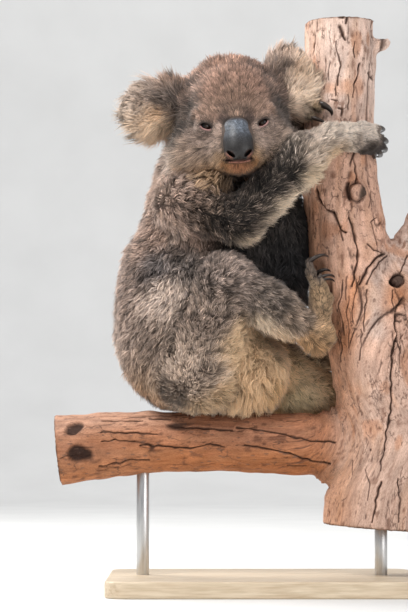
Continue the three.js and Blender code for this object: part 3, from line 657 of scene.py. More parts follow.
def coat_material(name, rough):
    m, nt, b = material(name, rough, Sheen_Weight=0.15, Sheen_Roughness=0.5, Specular_IOR_Level=0.25)
    n = object_noise(nt, 900.0, 2.0)
    f = ramp(nt, n.outputs[0], (0.3, (0.86, 0.86, 0.86)), (0.7, (1.12, 1.1, 1.08)))
    nt.links.new(mix_rgb(nt, col_attr(nt), f, 1.0, "MULTIPLY"), b.inputs["Base Color"])
    return m


MAT_COAT = coat_material("coat", 0.78)
MAT_EAR = coat_material("ear_coat", 0.72)
MAT_HAND = coat_material("hand_coat", 0.72)

# ---- the skin -------------------------------------------------------------------
H = 2.35
LO, HI = np.array([-178.0, -134.0, 186.0]), np.array([146.0, 106.0, 604.0])
V = grid_field(evaluate, LO, HI, H)
say("field", V.shape)
sv, sq = nets(V, LO, H)
tri = np.concatenate([sq[:, [0, 1, 2]], sq[:, [0, 2, 3]]])


def biggest(v, f):
    """Keeps the largest connected body of a mesh."""
    lab = np.arange(len(v))
    while True:
        m = lab[f].min(1)
        new = lab.copy()
        for k in range(f.shape[1]):
            np.minimum.at(new, f[:, k], m)
        new = new[new]
        if (new == lab).all():
            break
        lab = new
    ids, n = np.unique(lab[f[:, 0]], return_counts=True)
    keep = lab[f[:, 0]] == ids[n.argmax()]
    f = f[keep]
    used = np.unique(f)
    back = np.zeros(len(v), np.int64)
    back[used] = np.arange(len(used))
    return v[used], back[f]


def refine(v, f, mask):
    """Splits the masked triangles in four, and their neighbours to match."""
    e = np.stack([f, np.roll(f, -1, 1)], -1)
    code = e.min(-1).astype(np.int64) * len(v) + e.max(-1)
    split = np.unique(code[mask])
    pos = np.searchsorted(split, code)
    hit = (pos < len(split)) & (split[np.minimum(pos, len(split) - 1)] == code)
    mid = len(v) + pos
    nv = np.concatenate([v, (v[split // len(v)] + v[split % len(v)]) / 2])
    out = [f[hit.sum(1) == 0]]
    for r in range(3):
        a, m, h = np.roll(f, -r, 1), np.roll(mid, -r, 1), np.roll(hit, -r, 1)
        one = h[:, 0] & ~h[:, 1] & ~h[:, 2]
        out += [np.stack([a[one, 0], m[one, 0], a[one, 2]], 1), np.stack([m[one, 0], a[one, 1], a[one, 2]], 1)]
        two = ~h[:, 0] & h[:, 1] & h[:, 2]
        out += [np.stack([a[two, 0], a[two, 1], m[two, 1]], 1), np.stack([a[two, 0], m[two, 1], m[two, 2]], 1), np.stack([m[two, 2], m[two, 1], a[two, 2]], 1)]
    t = hit.all(1)
    a, m = f[t], mid[t]
    out += [np.stack([a[:, 0], m[:, 0], m[:, 2]], 1), np.stack([m[:, 0], a[:, 1], m[:, 1]], 1), np.stack([m[:, 2], m[:, 1], a[:, 2]], 1), m]
    return nv, np.concatenate(out)


sv, tri = biggest(sv, tri)
say("skin", len(sv), "points", len(tri), "triangles")
q = to_head(sv[tri].mean(1))
face = (q[:, 1] < -33) & (np.abs(q[:, 0]) < 46) & (q[:, 2] > -60) & (q[:, 2] < 26)
sv, tri = refine(sv, tri, face)
sv = settle(evaluate, sv, 2)
say("settled", len(sv), "points")
_, SD = evaluate(sv, want_parts=True)
SN = gradient(evaluate, sv, 0.7)
SQ = to_head(sv)
SW = weights_of(np.where(SD > 50, 200, SD), 5.0)
PI = {n: i for i, n in enumerate(ORDER)}
say("skin measured")

# ---- markings, some of them painted shade: places on each part and their colours ---
MARKS = {
    "torso": [(W(162, -20, 200), 34, (157, 132, 117)), (W(142, -20, 228), 34, (158, 133, 119)), (W(118, 0, 285), 44, (156, 134, 122)),
              (W(112, 0, 345), 40, (171, 150, 137)), (W(150, -20, 400), 32, (176, 145, 118)), (W(156, -56, 262), 13, (112, 106, 106)), (W(147, -50, 274), 8, (64, 57, 55)),
              (W(185, -66, 262), 12, (128, 118, 112)), (W(170, -62, 234), 8, (206, 192, 180)), (W(180, -60, 250), 7, (62, 54, 50)), (W(168, -60, 246), 5, (74, 66, 62)),
              (W(162, -60, 296), 22, (206, 186, 172)), (W(170, -60, 345), 26, (158, 138, 124)), (W(174, -66, 334), 7, (84, 74, 66)), (W(178, -66, 364), 7, (92, 80, 70)),
              (W(190, -60, 392), 26, (200, 176, 156)), (W(208, -70, 345), 9, (196, 168, 142)),
              # painted shade: the next three dark marks darken the pale chest where it lies in shade behind the arm and
              # leg
              (W(272, -10, 225), 34, (56, 51, 48)), (W(290, -10, 262), 26, (46, 45, 47)), (W(290, -20, 300), 20, (84, 76, 71)), (W(258, -30, 345), 28, (252, 215, 173)),
              (W(245, -40, 385), 24, (252, 210, 166)), (W(212, -36, 412), 30, (252, 217, 176)), (W(180, -40, 408), 14, (232, 208, 181)), (W(282, -30, 398), 16, (230, 188, 138))],
    "neck": [(W(160, -55, 162), 22, (210, 194, 183)), (W(176, -60, 176), 14, (212, 190, 170)), (W(198, -76, 178), 14, (204, 172, 140)), (W(214, -82, 184), 10, (150, 122, 94)), (W(232, -76, 184), 12, (96, 78, 62)),
             (W(160, 20, 160), 28, (160, 134, 119)), (W(168, -62, 196), 14, (196, 176, 163)), (W(195, -60, 202), 14, (104, 86, 74)), (W(240, 10, 200), 24, (80, 66, 56))],
    "upper_arm": [(W(156, -75, 210), 26, (200, 172, 156)), (W(186, -95, 205), 15, (110, 92, 81)), (W(205, -104, 215), 16, (68, 57, 49)),
                  (W(238, -100, 212), 18, (60, 51, 45)), (W(200, -85, 243), 12, (124, 104, 90)), (W(228, -90, 238), 10, (88, 76, 67)), (W(248, -80, 243), 7, (200, 176, 150))],
    "forearm": [(W(248, -104, 200), 20, (58, 51, 46)), (W(268, -102, 176), 17, (60, 53, 48)), (W(284, -98, 150), 12, (84, 76, 70)), (W(298, -94, 136), 10, (172, 156, 143)),
                (W(312, -86, 128), 11, (196, 179, 166)), (W(326, -78, 130), 10, (192, 176, 162)), (W(306, -84, 152), 10, (206, 186, 168)),
                (W(250, -76, 240), 9, (230, 208, 182)), (W(266, -78, 226), 10, (236, 214, 188)), (W(281, -80, 209), 10, (238, 216, 190)),
                (W(295, -78, 192), 10, (238, 216, 190)), (W(305, -74, 176), 10, (232, 208, 178)), (W(316, -68, 160), 9, (222, 190, 154)), (W(285, -40, 180), 20, (150, 134, 120))],
    # painted shade: the dark marks at (384, 148) and (370, 150) stand for the shaded underside of the fingertips
    "hand": [(W(345, -80, 130), 14, (212, 198, 184)), (W(338, -76, 150), 8, (196, 160, 124)), (W(384, -20, 148), 9, (50, 42, 38)), (W(352, -74, 151), 6, (150, 118, 90)),
             (W(368, -52, 126), 11, (200, 186, 174)), (W(370, -44, 150), 8, (58, 48, 42)), (W(360, -70, 141), 7, (150, 134, 122)), (W(376, -38, 136), 6, (120, 106, 96))],
    "thigh": [(W(225, -100, 262), 22, (154, 136, 126)), (W(206, -100, 315), 24, (158, 139, 126)), (W(190, -90, 375), 26, (196, 174, 157)),
              # painted shade: the dark marks at (204, 280) and (208, 262) darken the crease where the thigh bulges from
              # the body
              (W(250, -60, 350), 22, (252, 217, 176)), (W(220, -60, 410), 18, (252, 215, 171)), (W(204, -96, 280), 8, (84, 74, 69)), (W(208, -98, 262), 6, (90, 80, 74))],
    "shank": [(W(238, -102, 262), 20, (154, 137, 127)), (W(272, -92, 288), 20, (132, 118, 108)), (W(302, -82, 318), 16, (154, 134, 118)), (W(292, -88, 300), 7, (88, 78, 70)),
              (W(262, -84, 322), 9, (232, 208, 181)), (W(285, -76, 334), 9, (232, 203, 171)), (W(306, -66, 342), 10, (216, 172, 128)), (W(260, -30, 300), 18, (120, 104, 92)),
              (W(322, -70, 328), 8, (200, 164, 128))],
    "foot": [(W(322, -64, 312), 12, (178, 148, 116)), (W(311, -66, 270), 10, (126, 110, 98)), (W(320, -60, 342), 9, (196, 158, 118)), (W(306, -60, 285), 6, (184, 158, 130)), (W(311, -64, 260), 5, (80, 72, 70))],
    "upper_arm_l": [(W(165, 80, 212), 30, (158, 133, 118)), (W(242, 100, 222), 26, (70, 61, 55)), (W(262, 60, 224), 20, (52, 46, 43))],
    "forearm_l": [(W(262, 95, 190), 26, (66, 58, 54)), (W(290, 50, 145), 20, (104, 93, 85)), (W(280, 30, 190), 20, (50, 45, 42))],
    "hand_l": [(W(300, 0, 115), 30, (162, 144, 126)), (W(312, -44, 108), 9, (158, 132, 100)), (W(322, -48, 110), 5, (120, 104, 88))],
    "thigh_l": [(W(205, 90, 350), 30, (156, 137, 122)), (W(262, 95, 335), 24, (142, 117, 94)), (W(262, 30, 350), 22, (214, 172, 126))],
    "shank_l": [(W(285, 14, 372), 16, (232, 199, 158)), (W(318, 12, 376), 16, (234, 206, 168)), (W(280, 90, 350), 24, (142, 121, 104)), (W(296, 14, 404), 14, (252, 230, 186)),
                (W(272, 20, 352), 9, (216, 168, 118)), (W(296, 14, 354), 9, (176, 142, 108)), (W(306, 10, 366), 5, (110, 86, 64)), (W(286, 12, 362), 5, (120, 92, 68))],
    "foot_l": [(W(320, 45, 345), 26, (158, 131, 104)), (W(325, 20, 388), 14, (216, 172, 126))],
}
HEAD_MARKS = [  # across, up, forward in picture units; those off the middle are on both sides
    ((0, 62, -8), 26, (151, 118, 101)), ((0, 42, 34), 20, (149, 119, 104)), ((0, 22, 46), 11, (137, 112, 97)), ((26, 12, 46), 8, (147, 121, 106)),
    ((8, 8, 52), 6, (112, 93, 82)), ((-1, -1, 56), 4, (145, 120, 104)), ((11, 0, 54), 4, (70, 56, 50)), ((18.5, -11, 52), 4, (166, 145, 133)), ((17, -24, 55), 3.5, (170, 149, 135)), ((30, -16, 45), 8, (147, 128, 117)),
    ((36, -32, 36), 11, (164, 142, 127)), ((26, -26, 46), 7, (162, 142, 130)), ((30, -44, 38), 9, (178, 145, 114)),
    ((46, 10, 26), 11, (96, 84, 77)), ((54, 0, 8), 12, (78, 69, 63)), ((44, 36, 20), 13, (118, 98, 87)),
    ((40, -46, 18), 14, (189, 155, 124)), ((21, -37, 52), 6, (158, 130, 104)), ((15, -43, 53), 4, (136, 96, 62)), ((0, -47, 57), 6, (158, 107, 76)), ((7, -51, 55), 4, (178, 132, 95)), ((0, -56, 40), 7, (140, 98, 66)),
    ((-24, -52, 36), 7, (136, 98, 62)), ((0, -60, 22), 16, (108, 80, 54)), ((0, 20, -60), 36, (145, 122, 108)), ((52, -8, -26), 18, (141, 121, 111)), ((50, -36, 0), 16, (208, 191, 179)), ((34, -52, 4), 12, (199, 166, 135))]
EAR_MARKS = {
    "ear_r": [((-79, 38, 0), 7, (140, 126, 116)), ((-67, 32, 2), 8, (98, 88, 82)), ((-54, 25, 4), 8, (84, 75, 70)), ((-44, 16, 8), 8, (80, 70, 65)), ((-60, 50, -6), 9, (168, 136, 117)), ((-46, 46, -2), 8, (160, 130, 112)),
              ((-76, 51, -8), 13, (190, 168, 154)), ((-92, 46, -4), 14, (204, 182, 166)), ((-104, 34, -4), 13, (218, 200, 184)), ((-90, 30, 0), 7, (150, 130, 118)),
              ((-80, 14, 6), 9, (219, 181, 146)), ((-67, 14, 6), 8, (214, 171, 134)), ((-88, 3, 4), 10, (219, 187, 156)), ((-102, 12, -2), 12, (219, 197, 178)), ((-97, -7, -4), 12, (219, 195, 174)), ((-78, -8, 0), 11, (219, 189, 160)),
              ((-62, 2, 4), 8, (206, 178, 150)), ((-80, 15, -50), 13, (150, 130, 118))],
    "ear_l": [((39, 45, 4), 9, (84, 74, 68)), ((47, 38, 6), 9, (72, 64, 60)), ((52, 52, 2), 8, (92, 82, 76)), ((47, 24, 8), 8, (98, 86, 80)), ((56, 70, -6), 10, (184, 158, 141)), ((68, 76, -8), 10, (207, 182, 164)), ((46, 60, -6), 9, (168, 146, 132)),
              ((74, 52, 6), 6, (128, 88, 62)), ((67, 55, 4), 4, (150, 118, 94)), ((80, 64, -4), 10, (218, 192, 171)), ((69, 40, 6), 8, (218, 181, 148)), ((60, 46, 5), 6, (196, 172, 154)), ((82, 40, 0), 11, (219, 192, 168)),
              ((76, 24, 0), 12, (219, 197, 177)), ((64, 18, 4), 10, (219, 194, 171)), ((60, 30, 6), 7, (202, 170, 146)), ((62, 30, -52), 13, (150, 130, 118))]}


def mark_colour(p, q, w, wobble=5.0):
    """The coat's colour at points, as sRGB 0-255."""
    shift = np.stack([fbm(p, 16, 31 + k) for k in range(3)], 1) * wobble
    P, Q = p + shift, q + shift
    out = np.zeros((len(p), 3))
    for n in ORDER:
        wi = w[:, PI[n]]
        on = wi > 0.01
        if not on.any():
            continue
        if n == "head":
            marks = [(HL(*a) * np.array([s, 1, 1]), r * PX, c) for a, r, c in HEAD_MARKS for s in ((1,) if a[0] == 0 else (1, -1))]
            X = Q[on]
        elif n in EAR_MARKS:
            marks, X = [(HL(*a), r * PX, c) for a, r, c in EAR_MARKS[n]], Q[on]
        elif n in MARKS:
            marks, X = MARKS[n], P[on]
        elif n.endswith("_r"):
            marks, X = MARKS[n[:-2]], P[on]
        else:
            marks, X = [], P[on]
        d2 = np.stack([((X - a) ** 2).sum(1) / (r * r) for a, r, c in marks], 1)
        if n == "torso":  # the far side as the near one
            d2 = np.minimum(d2, np.stack([((X * [1, -1, 1] - a) ** 2).sum(1) / (r * r) for a, r, c in marks], 1))
        d2 -= d2.min(1, keepdims=True)
        g = np.exp(-0.9 * d2)
        g /= g.sum(1, keepdims=True)
        out[on] += wi[on, None] * (g @ np.array([c for _, _, c in marks], float))
    return out


SKIN_COL = mark_colour(sv, SQ, SW)
say("marks")

# ---- the lie, length and lift of the coat ------------------------------------------
joint = {n: (PARTS[n]["groups"][0][0]["a"], PARTS[n]["groups"][0][0]["b"]) for n in ORDER if "a" in PARTS[n]["groups"][0][0]}
FLOW = {n: (b - a) / np.linalg.norm(b - a) for n, (a, b) in joint.items()}
FLOW["hand_r"], FLOW["hand_l"] = np.array([0.9, 0.4, -0.15]), np.array([0.6, 0.0, 0.8])
FLOW["foot_r"], FLOW["foot_l"] = np.array([0.0, -0.1, 1.0]), np.array([0.0, 0.1, 1.0])
LENGTH = dict(torso=12, neck=15, head=10, ear_r=13, ear_l=13, upper_arm_r=11, upper_arm_l=13, forearm_r=9.5, forearm_l=10.5,
              thigh_r=10.5, thigh_l=12, shank_r=9, shank_l=11, hand_r=4.6, hand_l=4.6, foot_r=5, foot_l=5)
LIFT = dict(torso=42, neck=42, head=38, ear_r=34, ear_l=34, upper_arm_r=42, upper_arm_l=42, forearm_r=40, forearm_l=40,
            thigh_r=42, thigh_l=42, shank_r=40, shank_l=40, hand_r=26, hand_l=26, foot_r=26, foot_l=26)
WIDTH = dict(torso=1.6, neck=1.55, head=1.25, ear_r=1.2, ear_l=1.2, upper_arm_r=1.4, upper_arm_l=1.6, forearm_r=1.3, forearm_l=1.5,
             thigh_r=1.5, thigh_l=1.6, shank_r=1.35, shank_l=1.5, hand_r=0.95, hand_l=0.95, foot_r=0.95, foot_l=0.95)
THICK = dict(torso=0.62, neck=0.72, head=1.15, ear_r=1.2, ear_l=1.2, upper_arm_r=0.85, upper_arm_l=0.55, forearm_r=1.1, forearm_l=0.6,
             thigh_r=0.8, thigh_l=0.5, shank_r=1.05, shank_l=0.8, hand_r=1.9, hand_l=1.5, foot_r=1.8, foot_l=1.3)
BENT = dict(torso=0.14, neck=0.24, head=0.12, ear_r=0.3, ear_l=0.3, upper_arm_r=0.12, upper_arm_l=0.1, forearm_r=0.12, forearm_l=0.1,
            thigh_r=0.12, thigh_l=0.1, shank_r=0.1, shank_l=0.15, hand_r=0, hand_l=0, foot_r=0, foot_l=0)


def by_part(table, w):
    return w @ np.array([table[n] for n in ORDER], float)


def lie(p, q, w, n):
    """The way the coat runs, along the skin."""
    out = np.zeros((len(p), 3))
    for name in ORDER:
        wi = w[:, [PI[name]]]
        if name in ("torso", "neck"):
            f = np.array([-0.35, 0, -1.0]) + 0 * p
        elif name == "head":
            l = q - HL(0, -14, 66)
            l[:, 2] += 0.25 * np.abs(q[:, 0])
            f = l @ HEAD_ROT.T
        elif name in ("ear_r", "ear_l"):
            s = -1 if name == "ear_r" else 1
            l = q - HL(s * 50, 14, -12)
            f = l @ HEAD_ROT.T
        else:
            f = FLOW[name] + 0 * p
        f = f / (np.linalg.norm(f, axis=1, keepdims=True) + 1e-9)
        out += wi * f
    out += 0.35 * np.stack([fbm(p, 34, 61 + k) for k in range(3)], 1)
    out -= (out * n).sum(1, keepdims=True) * n
    return out / (np.linalg.norm(out, axis=1, keepdims=True) + 1e-9)


def coat_numbers(p, q, w, n):
    """Length, lift in degrees, lock width and locks per mm2 at points on the skin."""
    length, lift, width, thick = (by_part(t, w) for t in (LENGTH, LIFT, WIDTH, THICK))
    wh = w[:, PI["head"]]
    depth = head_depth(q)
    length = length + wh * (depth * 1.45 - LENGTH["head"])
    front = wh * smooth_step(18, 46, -q[:, 1])
    width = width * (1 - 0.38 * front)
    thick = thick * (1 + 0.9 * front)
    ruff = wh * smooth_step(32, 50, np.abs(q[:, 0])) * smooth_step(-6, -34, q[:, 2])
    ruff = np.maximum(ruff, w[:, PI["neck"]] * smooth_step(-30, -52, p[:, 1]))
    length = length + 10 * ruff
    lift = lift + 6 * ruff
    for name in ("ear_r", "ear_l"):
        rim = w[:, PI[name]] * ear_rim(q, name)
        length = length + 13 * rim
        lift = lift + 4 * rim
    under = (w[:, PI["forearm_r"]] + 0.6 * w[:, PI["shank_r"]]) * smooth_step(0.25, 0.9, (n @ np.array([0.62, 0, -0.78])))
    length = length + 9 * under
    return length, lift, width, thick


SL = lie(sv, SQ, SW, SN)
S_len, S_lift, S_wid, S_thick = coat_numbers(sv, SQ, SW, SN)
say("lie of the coat")

# lid rims, mouth line and the bare places
near_slit = np.full(len(sv), 50.0)
for L in LIDS:
    near_slit = np.minimum(near_slit, shape_d(L["slit"], SQ))
near_mouth = np.maximum(mouth_d(SQ, np.zeros(len(SQ))), -1)
near_nose = shapes_d(NOSE, SQ)
bare = (near_slit < 1.8) | (near_nose < 0.6) | ((near_mouth < np.where(np.abs(SQ[:, 0]) < 13, 2.0, 0.8)) & (SQ[:, 1] < -50))
lid = np.clip(1 - near_slit / 2.4, 0, 1)[:, None]
low_lid = np.zeros(len(sv), bool)
for L in LIDS:
    rel = (SQ - L["slit"]["at"]) @ L["slit"]["rot"]
    low_lid |= (rel[:, 2] < -1.0) & (np.abs(rel[:, 0]) < 12) & (np.abs(rel[:, 2]) < 9) & (SQ[:, 1] < -30)
ear_s = SW[:, PI["ear_r"]] + SW[:, PI["ear_l"]]
skin_rgb = SKIN_COL * (0.56 + 0.25 * ear_s + 0.22 * smooth_step(158, 205, SKIN_COL.mean(1)) * (1 - 0.5 * SW[:, PI["head"]]))[:, None]
skin_rgb = skin_rgb * (1 - lid) + lid * np.where(low_lid[:, None], np.array([186, 138, 134.0]), np.array([34, 27, 25.0]))
m = np.clip(1 - near_mouth / 1.6, 0, 1)[:, None] * (SQ[:, 1] < -50)[:, None]
lip = smooth_step(2.6, 1.2, near_mouth)[:, None] * (SQ[:, [1]] < -50) * (np.abs(SQ[:, [0]]) < 12)
skin_rgb = skin_rgb * (1 - 0.9 * lip) + 0.9 * lip * np.array([190, 128, 112.0])
skin_rgb = skin_rgb * (1 - m) + m * np.array([50, 32, 28.0])

mat, nt, b = material("skin", 0.7, Specular_IOR_Level=0.3)
n1 = object_noise(nt, 700.0, 3.0)
f = ramp(nt, n1.outputs[0], (0.3, (0.8, 0.8, 0.8)), (0.7, (1.15, 1.12, 1.1)))
nt.links.new(mix_rgb(nt, col_attr(nt), f, 1.0, "MULTIPLY"), b.inputs["Base Color"])
bump(nt, b, n1.outputs[0], 0.0006, 0.5)
skin = make("koala_skin", sv, tri, srgb(*skin_rgb.T).T)
skin.data.materials.append(mat)
place(skin, "coat_fur", *ORDER)
say("skin mesh")

# ---- the wood ------------------------------------------------------------------
def picture(p):
    """Where points are in the view: u, v."""
    r = p - EYE_AT
    z = r @ FWD
    t = PX / FAR
    return 204 + r[:, 0] / z / t, 306 - (r @ UPW) / z / t


CRACKS = [  # picture places of the cracks on the near side, half width in mm, depth in mm
    ([(346, 8), (347, 15), (346, 23)], 1.1, 2.0), ([(339, 16), (343, 18)], 1.3, 1.8), ([(340, 27), (343, 33), (345, 40)], 1.9, 3.2),
    ([(336, 42), (337, 52), (339, 60), (341, 66), (338, 74), (337, 85)], 0.9, 2.2), ([(355, 42), (354, 49), (355, 57)], 0.7, 1.6),
    ([(360, 64), (359, 74), (355, 84), (353, 97)], 0.95, 2.3), ([(348, 95), (349, 102), (348, 109)], 0.65, 1.6), ([(370, 73), (373, 80)], 1.2, 1.6), ([(373, 30), (374, 38)], 0.9, 1.6),
    ([(338, 109), (342, 110), (341, 116)], 0.9, 2.0), ([(331, 99), (337, 101)], 0.8, 1.4), ([(335, 88), (336, 95)], 0.6, 1.2), ([(329, 62), (328, 72), (329, 80)], 0.5, 1.0),
    ([(354, 157), (357, 172), (356, 183)], 0.9, 2.4), ([(348, 183), (347, 190), (349, 199)], 1.6, 3.4),
    ([(316, 190), (318, 196), (322, 204), (328, 210), (334, 212)], 1.2, 2.8), ([(334, 212), (338, 222), (341, 230), (346, 232)], 1.4, 3.2), ([(341, 231), (343, 240)], 0.8, 1.8),
    ([(349, 217), (353, 228), (355, 240), (357, 250), (357, 262), (354, 274), (352, 286)], 1.05, 2.8),
    ([(376, 218), (372, 222), (374, 232), (377, 244)], 0.7, 1.6), ([(368, 243), (374, 250), (383, 254)], 1.0, 2.2),
    ([(383, 254), (376, 258), (372, 262), (366, 271), (360, 284)], 1.4, 3.2), ([(386, 256), (380, 262), (372, 272), (366, 284)], 0.8, 1.6),
    ([(360, 276), (356, 290), (352, 310), (353, 322)], 0.7, 1.6), ([(366, 290), (366, 300), (364, 315), (364, 332)], 0.75, 1.8), ([(343, 280), (341, 296), (338, 306), (343, 320), (345, 334)], 0.65, 1.5),
    ([(349, 296), (347, 312), (350, 330), (349, 348)], 0.6, 1.3), ([(361, 330), (362, 346), (360, 360)], 0.6, 1.2), ([(340, 330), (342, 350), (341, 362)], 0.6, 1.2),
    ([(407, 256), (403, 266), (400, 273)], 0.9, 2.0), ([(390, 282), (394, 285)], 0.9, 1.6), ([(393, 290), (392, 300), (395, 312)], 0.7, 1.4),
    ([(403, 299), (398, 307), (395, 312), (395, 325), (396, 340)], 1.3, 3.0), ([(396, 335), (393, 350), (391, 370), (391, 400), (389, 420), (386, 432), (385, 450)], 1.15, 3.0),
    ([(396, 338), (401, 351)], 0.7, 1.6), ([(385, 450), (381, 462), (381, 472)], 0.7, 1.6), ([(381, 482), (376, 500), (373, 522)], 1.2, 2.8), ([(398, 478), (400, 496), (399, 522)], 0.7, 1.6),
    ([(371, 449.3), (371, 450.3)], 0.9, 2.0), ([(366, 470), (370, 484), (368, 500)], 0.5, 1.0), ([(352, 460), (353, 476)], 0.5, 0.9),
    ([(169, 425), (190, 427.5), (220, 430), (232, 430)], 1.1, 2.2), ([(237, 427), (265, 431), (290, 436), (310, 441), (335, 442)], 1.1, 2.2),
    ([(140, 446), (165, 446), (190, 449), (210, 444), (225, 447)], 1.0, 2.0), ([(245, 445), (270, 449), (290, 454), (310, 461), (330, 464)], 1.1, 2.2),
    ([(100, 432), (157, 434)], 0.9, 1.8), ([(102, 442), (112, 440), (135, 441)], 0.9, 1.8), ([(100, 467), (115, 464), (130, 461), (150, 460)], 0.9, 1.8),
    ([(102, 421), (142, 421)], 0.8, 1.5), ([(150, 419), (170, 419)], 0.8, 1.5)]
PITS = [((80, 455), (12, 11), 6.0), ((74, 429), (9, 7), 2.5), ((398, 281), (8, 8), 3.6)]
STUBS = [((358, 192), (8.0, 9.0), 5.5), ((398, 281), (5.5, 5.5), 6.0)]  # snapped twigs: place, radii, height in mm


def line_d(u, v, pts):
    best = np.full(len(u), 1e9)
    for (a, b), (c, d) in zip(pts[:-1], pts[1:]):
        h = np.clip(((u - a) * (c - a) + (v - b) * (d - b)) / ((c - a) ** 2 + (d - b) ** 2), 0, 1)
        best = np.minimum(best, np.hypot(u - a - h * (c - a), v - b - h * (d - b)))
    return best


WLO, WHI = np.array([-236.0, -66.0, 61.8]), np.array([222.0, 70.0, 640.0])
wv, wq = nets(grid_field(wood_d, WLO, WHI, 2.7), WLO, 2.7)
wtri = np.concatenate([wq[:, [0, 1, 2]], wq[:, [0, 2, 3]]])
wv, wtri = biggest(wv, wtri)
chains = (TRUNK, BRANCH, SIDE_LIMB)
la = (np.array(SIDE_LIMB[-1][:3]) - np.array(SIDE_LIMB[0][:3]))
la /= np.linalg.norm(la)
AXES = np.array([[0.05, 0, 1.0], [1.0, 0, 0], la])
AXES /= np.linalg.norm(AXES, axis=1, keepdims=True)
# short broken cracks all round, each a few steps along the grain
CR = np.random.default_rng(11)
starts = wv[CR.integers(0, len(wv), 190)]
ch = np.stack([chain_d(c, starts) for c in chains], 1).argmin(1)
walk = [starts]
for _ in range(5):
    nx = walk[-1] + AXES[ch] * (3.5 + 5 * CR.random((len(ch), 1))) + CR.normal(size=(len(ch), 3)) * 1.5
    for _ in range(2):
        nx = nx - gradient(wood_d, nx) * wood_d(nx)[:, None]
    walk.append(nx)
walk = np.stack(walk, 1)
runs = [(w[:k], 0.35 + 0.55 * r * r, 0.9 + 1.1 * t) for w, k, r, t in zip(walk, CR.integers(3, 7, len(ch)), CR.random(len(ch)), CR.random(len(ch)))]


def run_d(p, pts, reach):
    """Distance of points from a run of straight pieces, in mm, where it is near."""
    out = np.full(len(p), 99.0)
    near_ = (np.abs(p - (pts.min(0) + pts.max(0)) / 2) < (pts.max(0) - pts.min(0)) / 2 + reach).all(1)
    x = p[near_]
    best = np.full(len(x), 99.0)
    for a, c in zip(pts[:-1], pts[1:]):
        h = np.clip((x - a) @ (c - a) / ((c - a) @ (c - a)), 0, 1)
        best = np.minimum(best, np.linalg.norm(x - a - h[:, None] * (c - a), axis=1))
    out[near_] = best
    return out


for reach, gap in ((3.0, 1.9), (0.9, 0.0)):
    cen = wv[wtri].mean(1)
    wn = gradient(wood_d, cen)
    u, v = picture(cen)
    near_line = np.min([line_d(u, v, pts) * PX - w for pts, w, _ in CRACKS], 0)
    near_run = np.min([run_d(cen, pts, 5) - w for pts, w, _ in runs], 0)
    stub_near = np.min([np.hypot((u - a) / ru, (v - b) / rv) for (a, b), (ru, rv), _ in STUBS], 0) < 1.5
    mask = ((near_line < reach) | (stub_near & (gap > 0))) & (wn[:, 1] < -0.15)
    if gap > 0:
        mask |= near_run < gap
    wv, wtri = refine(wv, wtri, mask)
wv = settle(wood_d, wv, 2, 0.9)
wn = gradient(wood_d, wv)
du, dv = picture(wv)
dt, db, dl = chain_d(TRUNK, wv), chain_d(BRANCH, wv), chain_d(SIDE_LIMB, wv)
ww = weights_of(np.stack([dt, db, dl], 1), 6.0)
ax = weights_of(np.stack([dt, db, dl], 1), 16.0) @ AXES
ax /= np.linalg.norm(ax, axis=1, keepdims=True)
along = (wv * ax).sum(1)
grain = (wv - along[:, None] * ax) + 0.13 * along[:, None] * ax
endcut = np.zeros(len(wv))
for (at, way), k in ((TOP, 0), (FOOT, 0), (BR_END, 1), (LB_END, 2)):
    endcut = np.maximum(endcut, smooth_step(-1.6, -0.2, (wv - at) @ way) * (np.linalg.norm(wv - at, axis=1) < 80) * (ww[:, k] > 0.5))
front = smooth_step(-0.05, -0.4, wn[:, 1])
bark = (wv - along[:, None] * ax) + 0.42 * along[:, None] * ax
rough_w = 1 - 0.3 * ww[:, 1]
disp = rough_w * (2.0 * noise(grain, 26, 3) + 1.1 * noise(grain, 10, 4) + 1.5 * noise(bark, 17, 61) + 1.0 * noise(bark, 7.5, 62)) + 0.5 * noise(bark, 4, 5)
ridge = 1 - np.abs(noise(grain * [1, 1, 1] + 40, 15, 9))
split = smooth_step(0.93, 0.985, ridge) * smooth_step(0.0, 0.5, noise(wv, 60, 12))
disp -= 1.6 * split
crack = 0.9 * split
wobbled = wv + 0.9 * np.stack([noise(wv, 6, 51 + k) for k in range(3)], 1)
ju, jv, jw = du + 1.1 * noise(wv, 6, 21), dv + 1.1 * noise(wv, 6, 22), 0.85 + 0.45 * noise(wv, 9, 27)
for pts, w, deep in CRACKS:
    d = line_d(ju, jv, pts) * PX
    w = w * jw
    g = np.exp(-(d / w) ** 2) * front
    disp -= deep * g
    disp += 0.28 * deep * np.exp(-((d - 2.4 * w) / (1.6 * w)) ** 2) * front
    crack = np.maximum(crack, g)
for pts, w, deep in runs:
    d = run_d(wobbled, pts, 5)
    g = np.exp(-(d / w) ** 2)
    disp -= deep * g
    crack = np.maximum(crack, 0.8 * g)
pit = np.zeros(len(wv))
for (a, b), (ru, rv), deep in PITS:
    d = np.hypot((du - a + 4.5 * noise(wv, 14, 23)) / ru, (dv - b + 4.5 * noise(wv, 14, 24)) / rv)
    g = smooth_step(1.05, 0.75, d) * front
    disp -= deep * g * (1 + 0.4 * noise(wv, 5, 25))
    disp += 1.6 * np.exp(-((d - 1.15) / 0.18) ** 2) * front
    pit = np.maximum(pit, g)
stub = np.zeros(len(wv))
for (a, b), (ru, rv), high in STUBS:
    d = np.hypot((du - a + 0.8 * noise(wv, 6, 28)) / ru, (dv - b + 0.8 * noise(wv, 6, 29)) / rv)
    g = smooth_step(1.0, 0.72, d) * front
    disp += high * g * (0.8 + 0.5 * noise(wv, 5, 30))
    ring_ = np.exp(-((d - 1.12) / 0.12) ** 2) * front
    disp -= 2.2 * ring_
    crack = np.maximum(crack, 0.8 * ring_)
    stub = np.maximum(stub, g)
disp *= (1 - endcut)
touch = kdtree.KDTree(len(sv))
for k, p in enumerate(sv):
    touch.insert(p, k)
touch.balance()
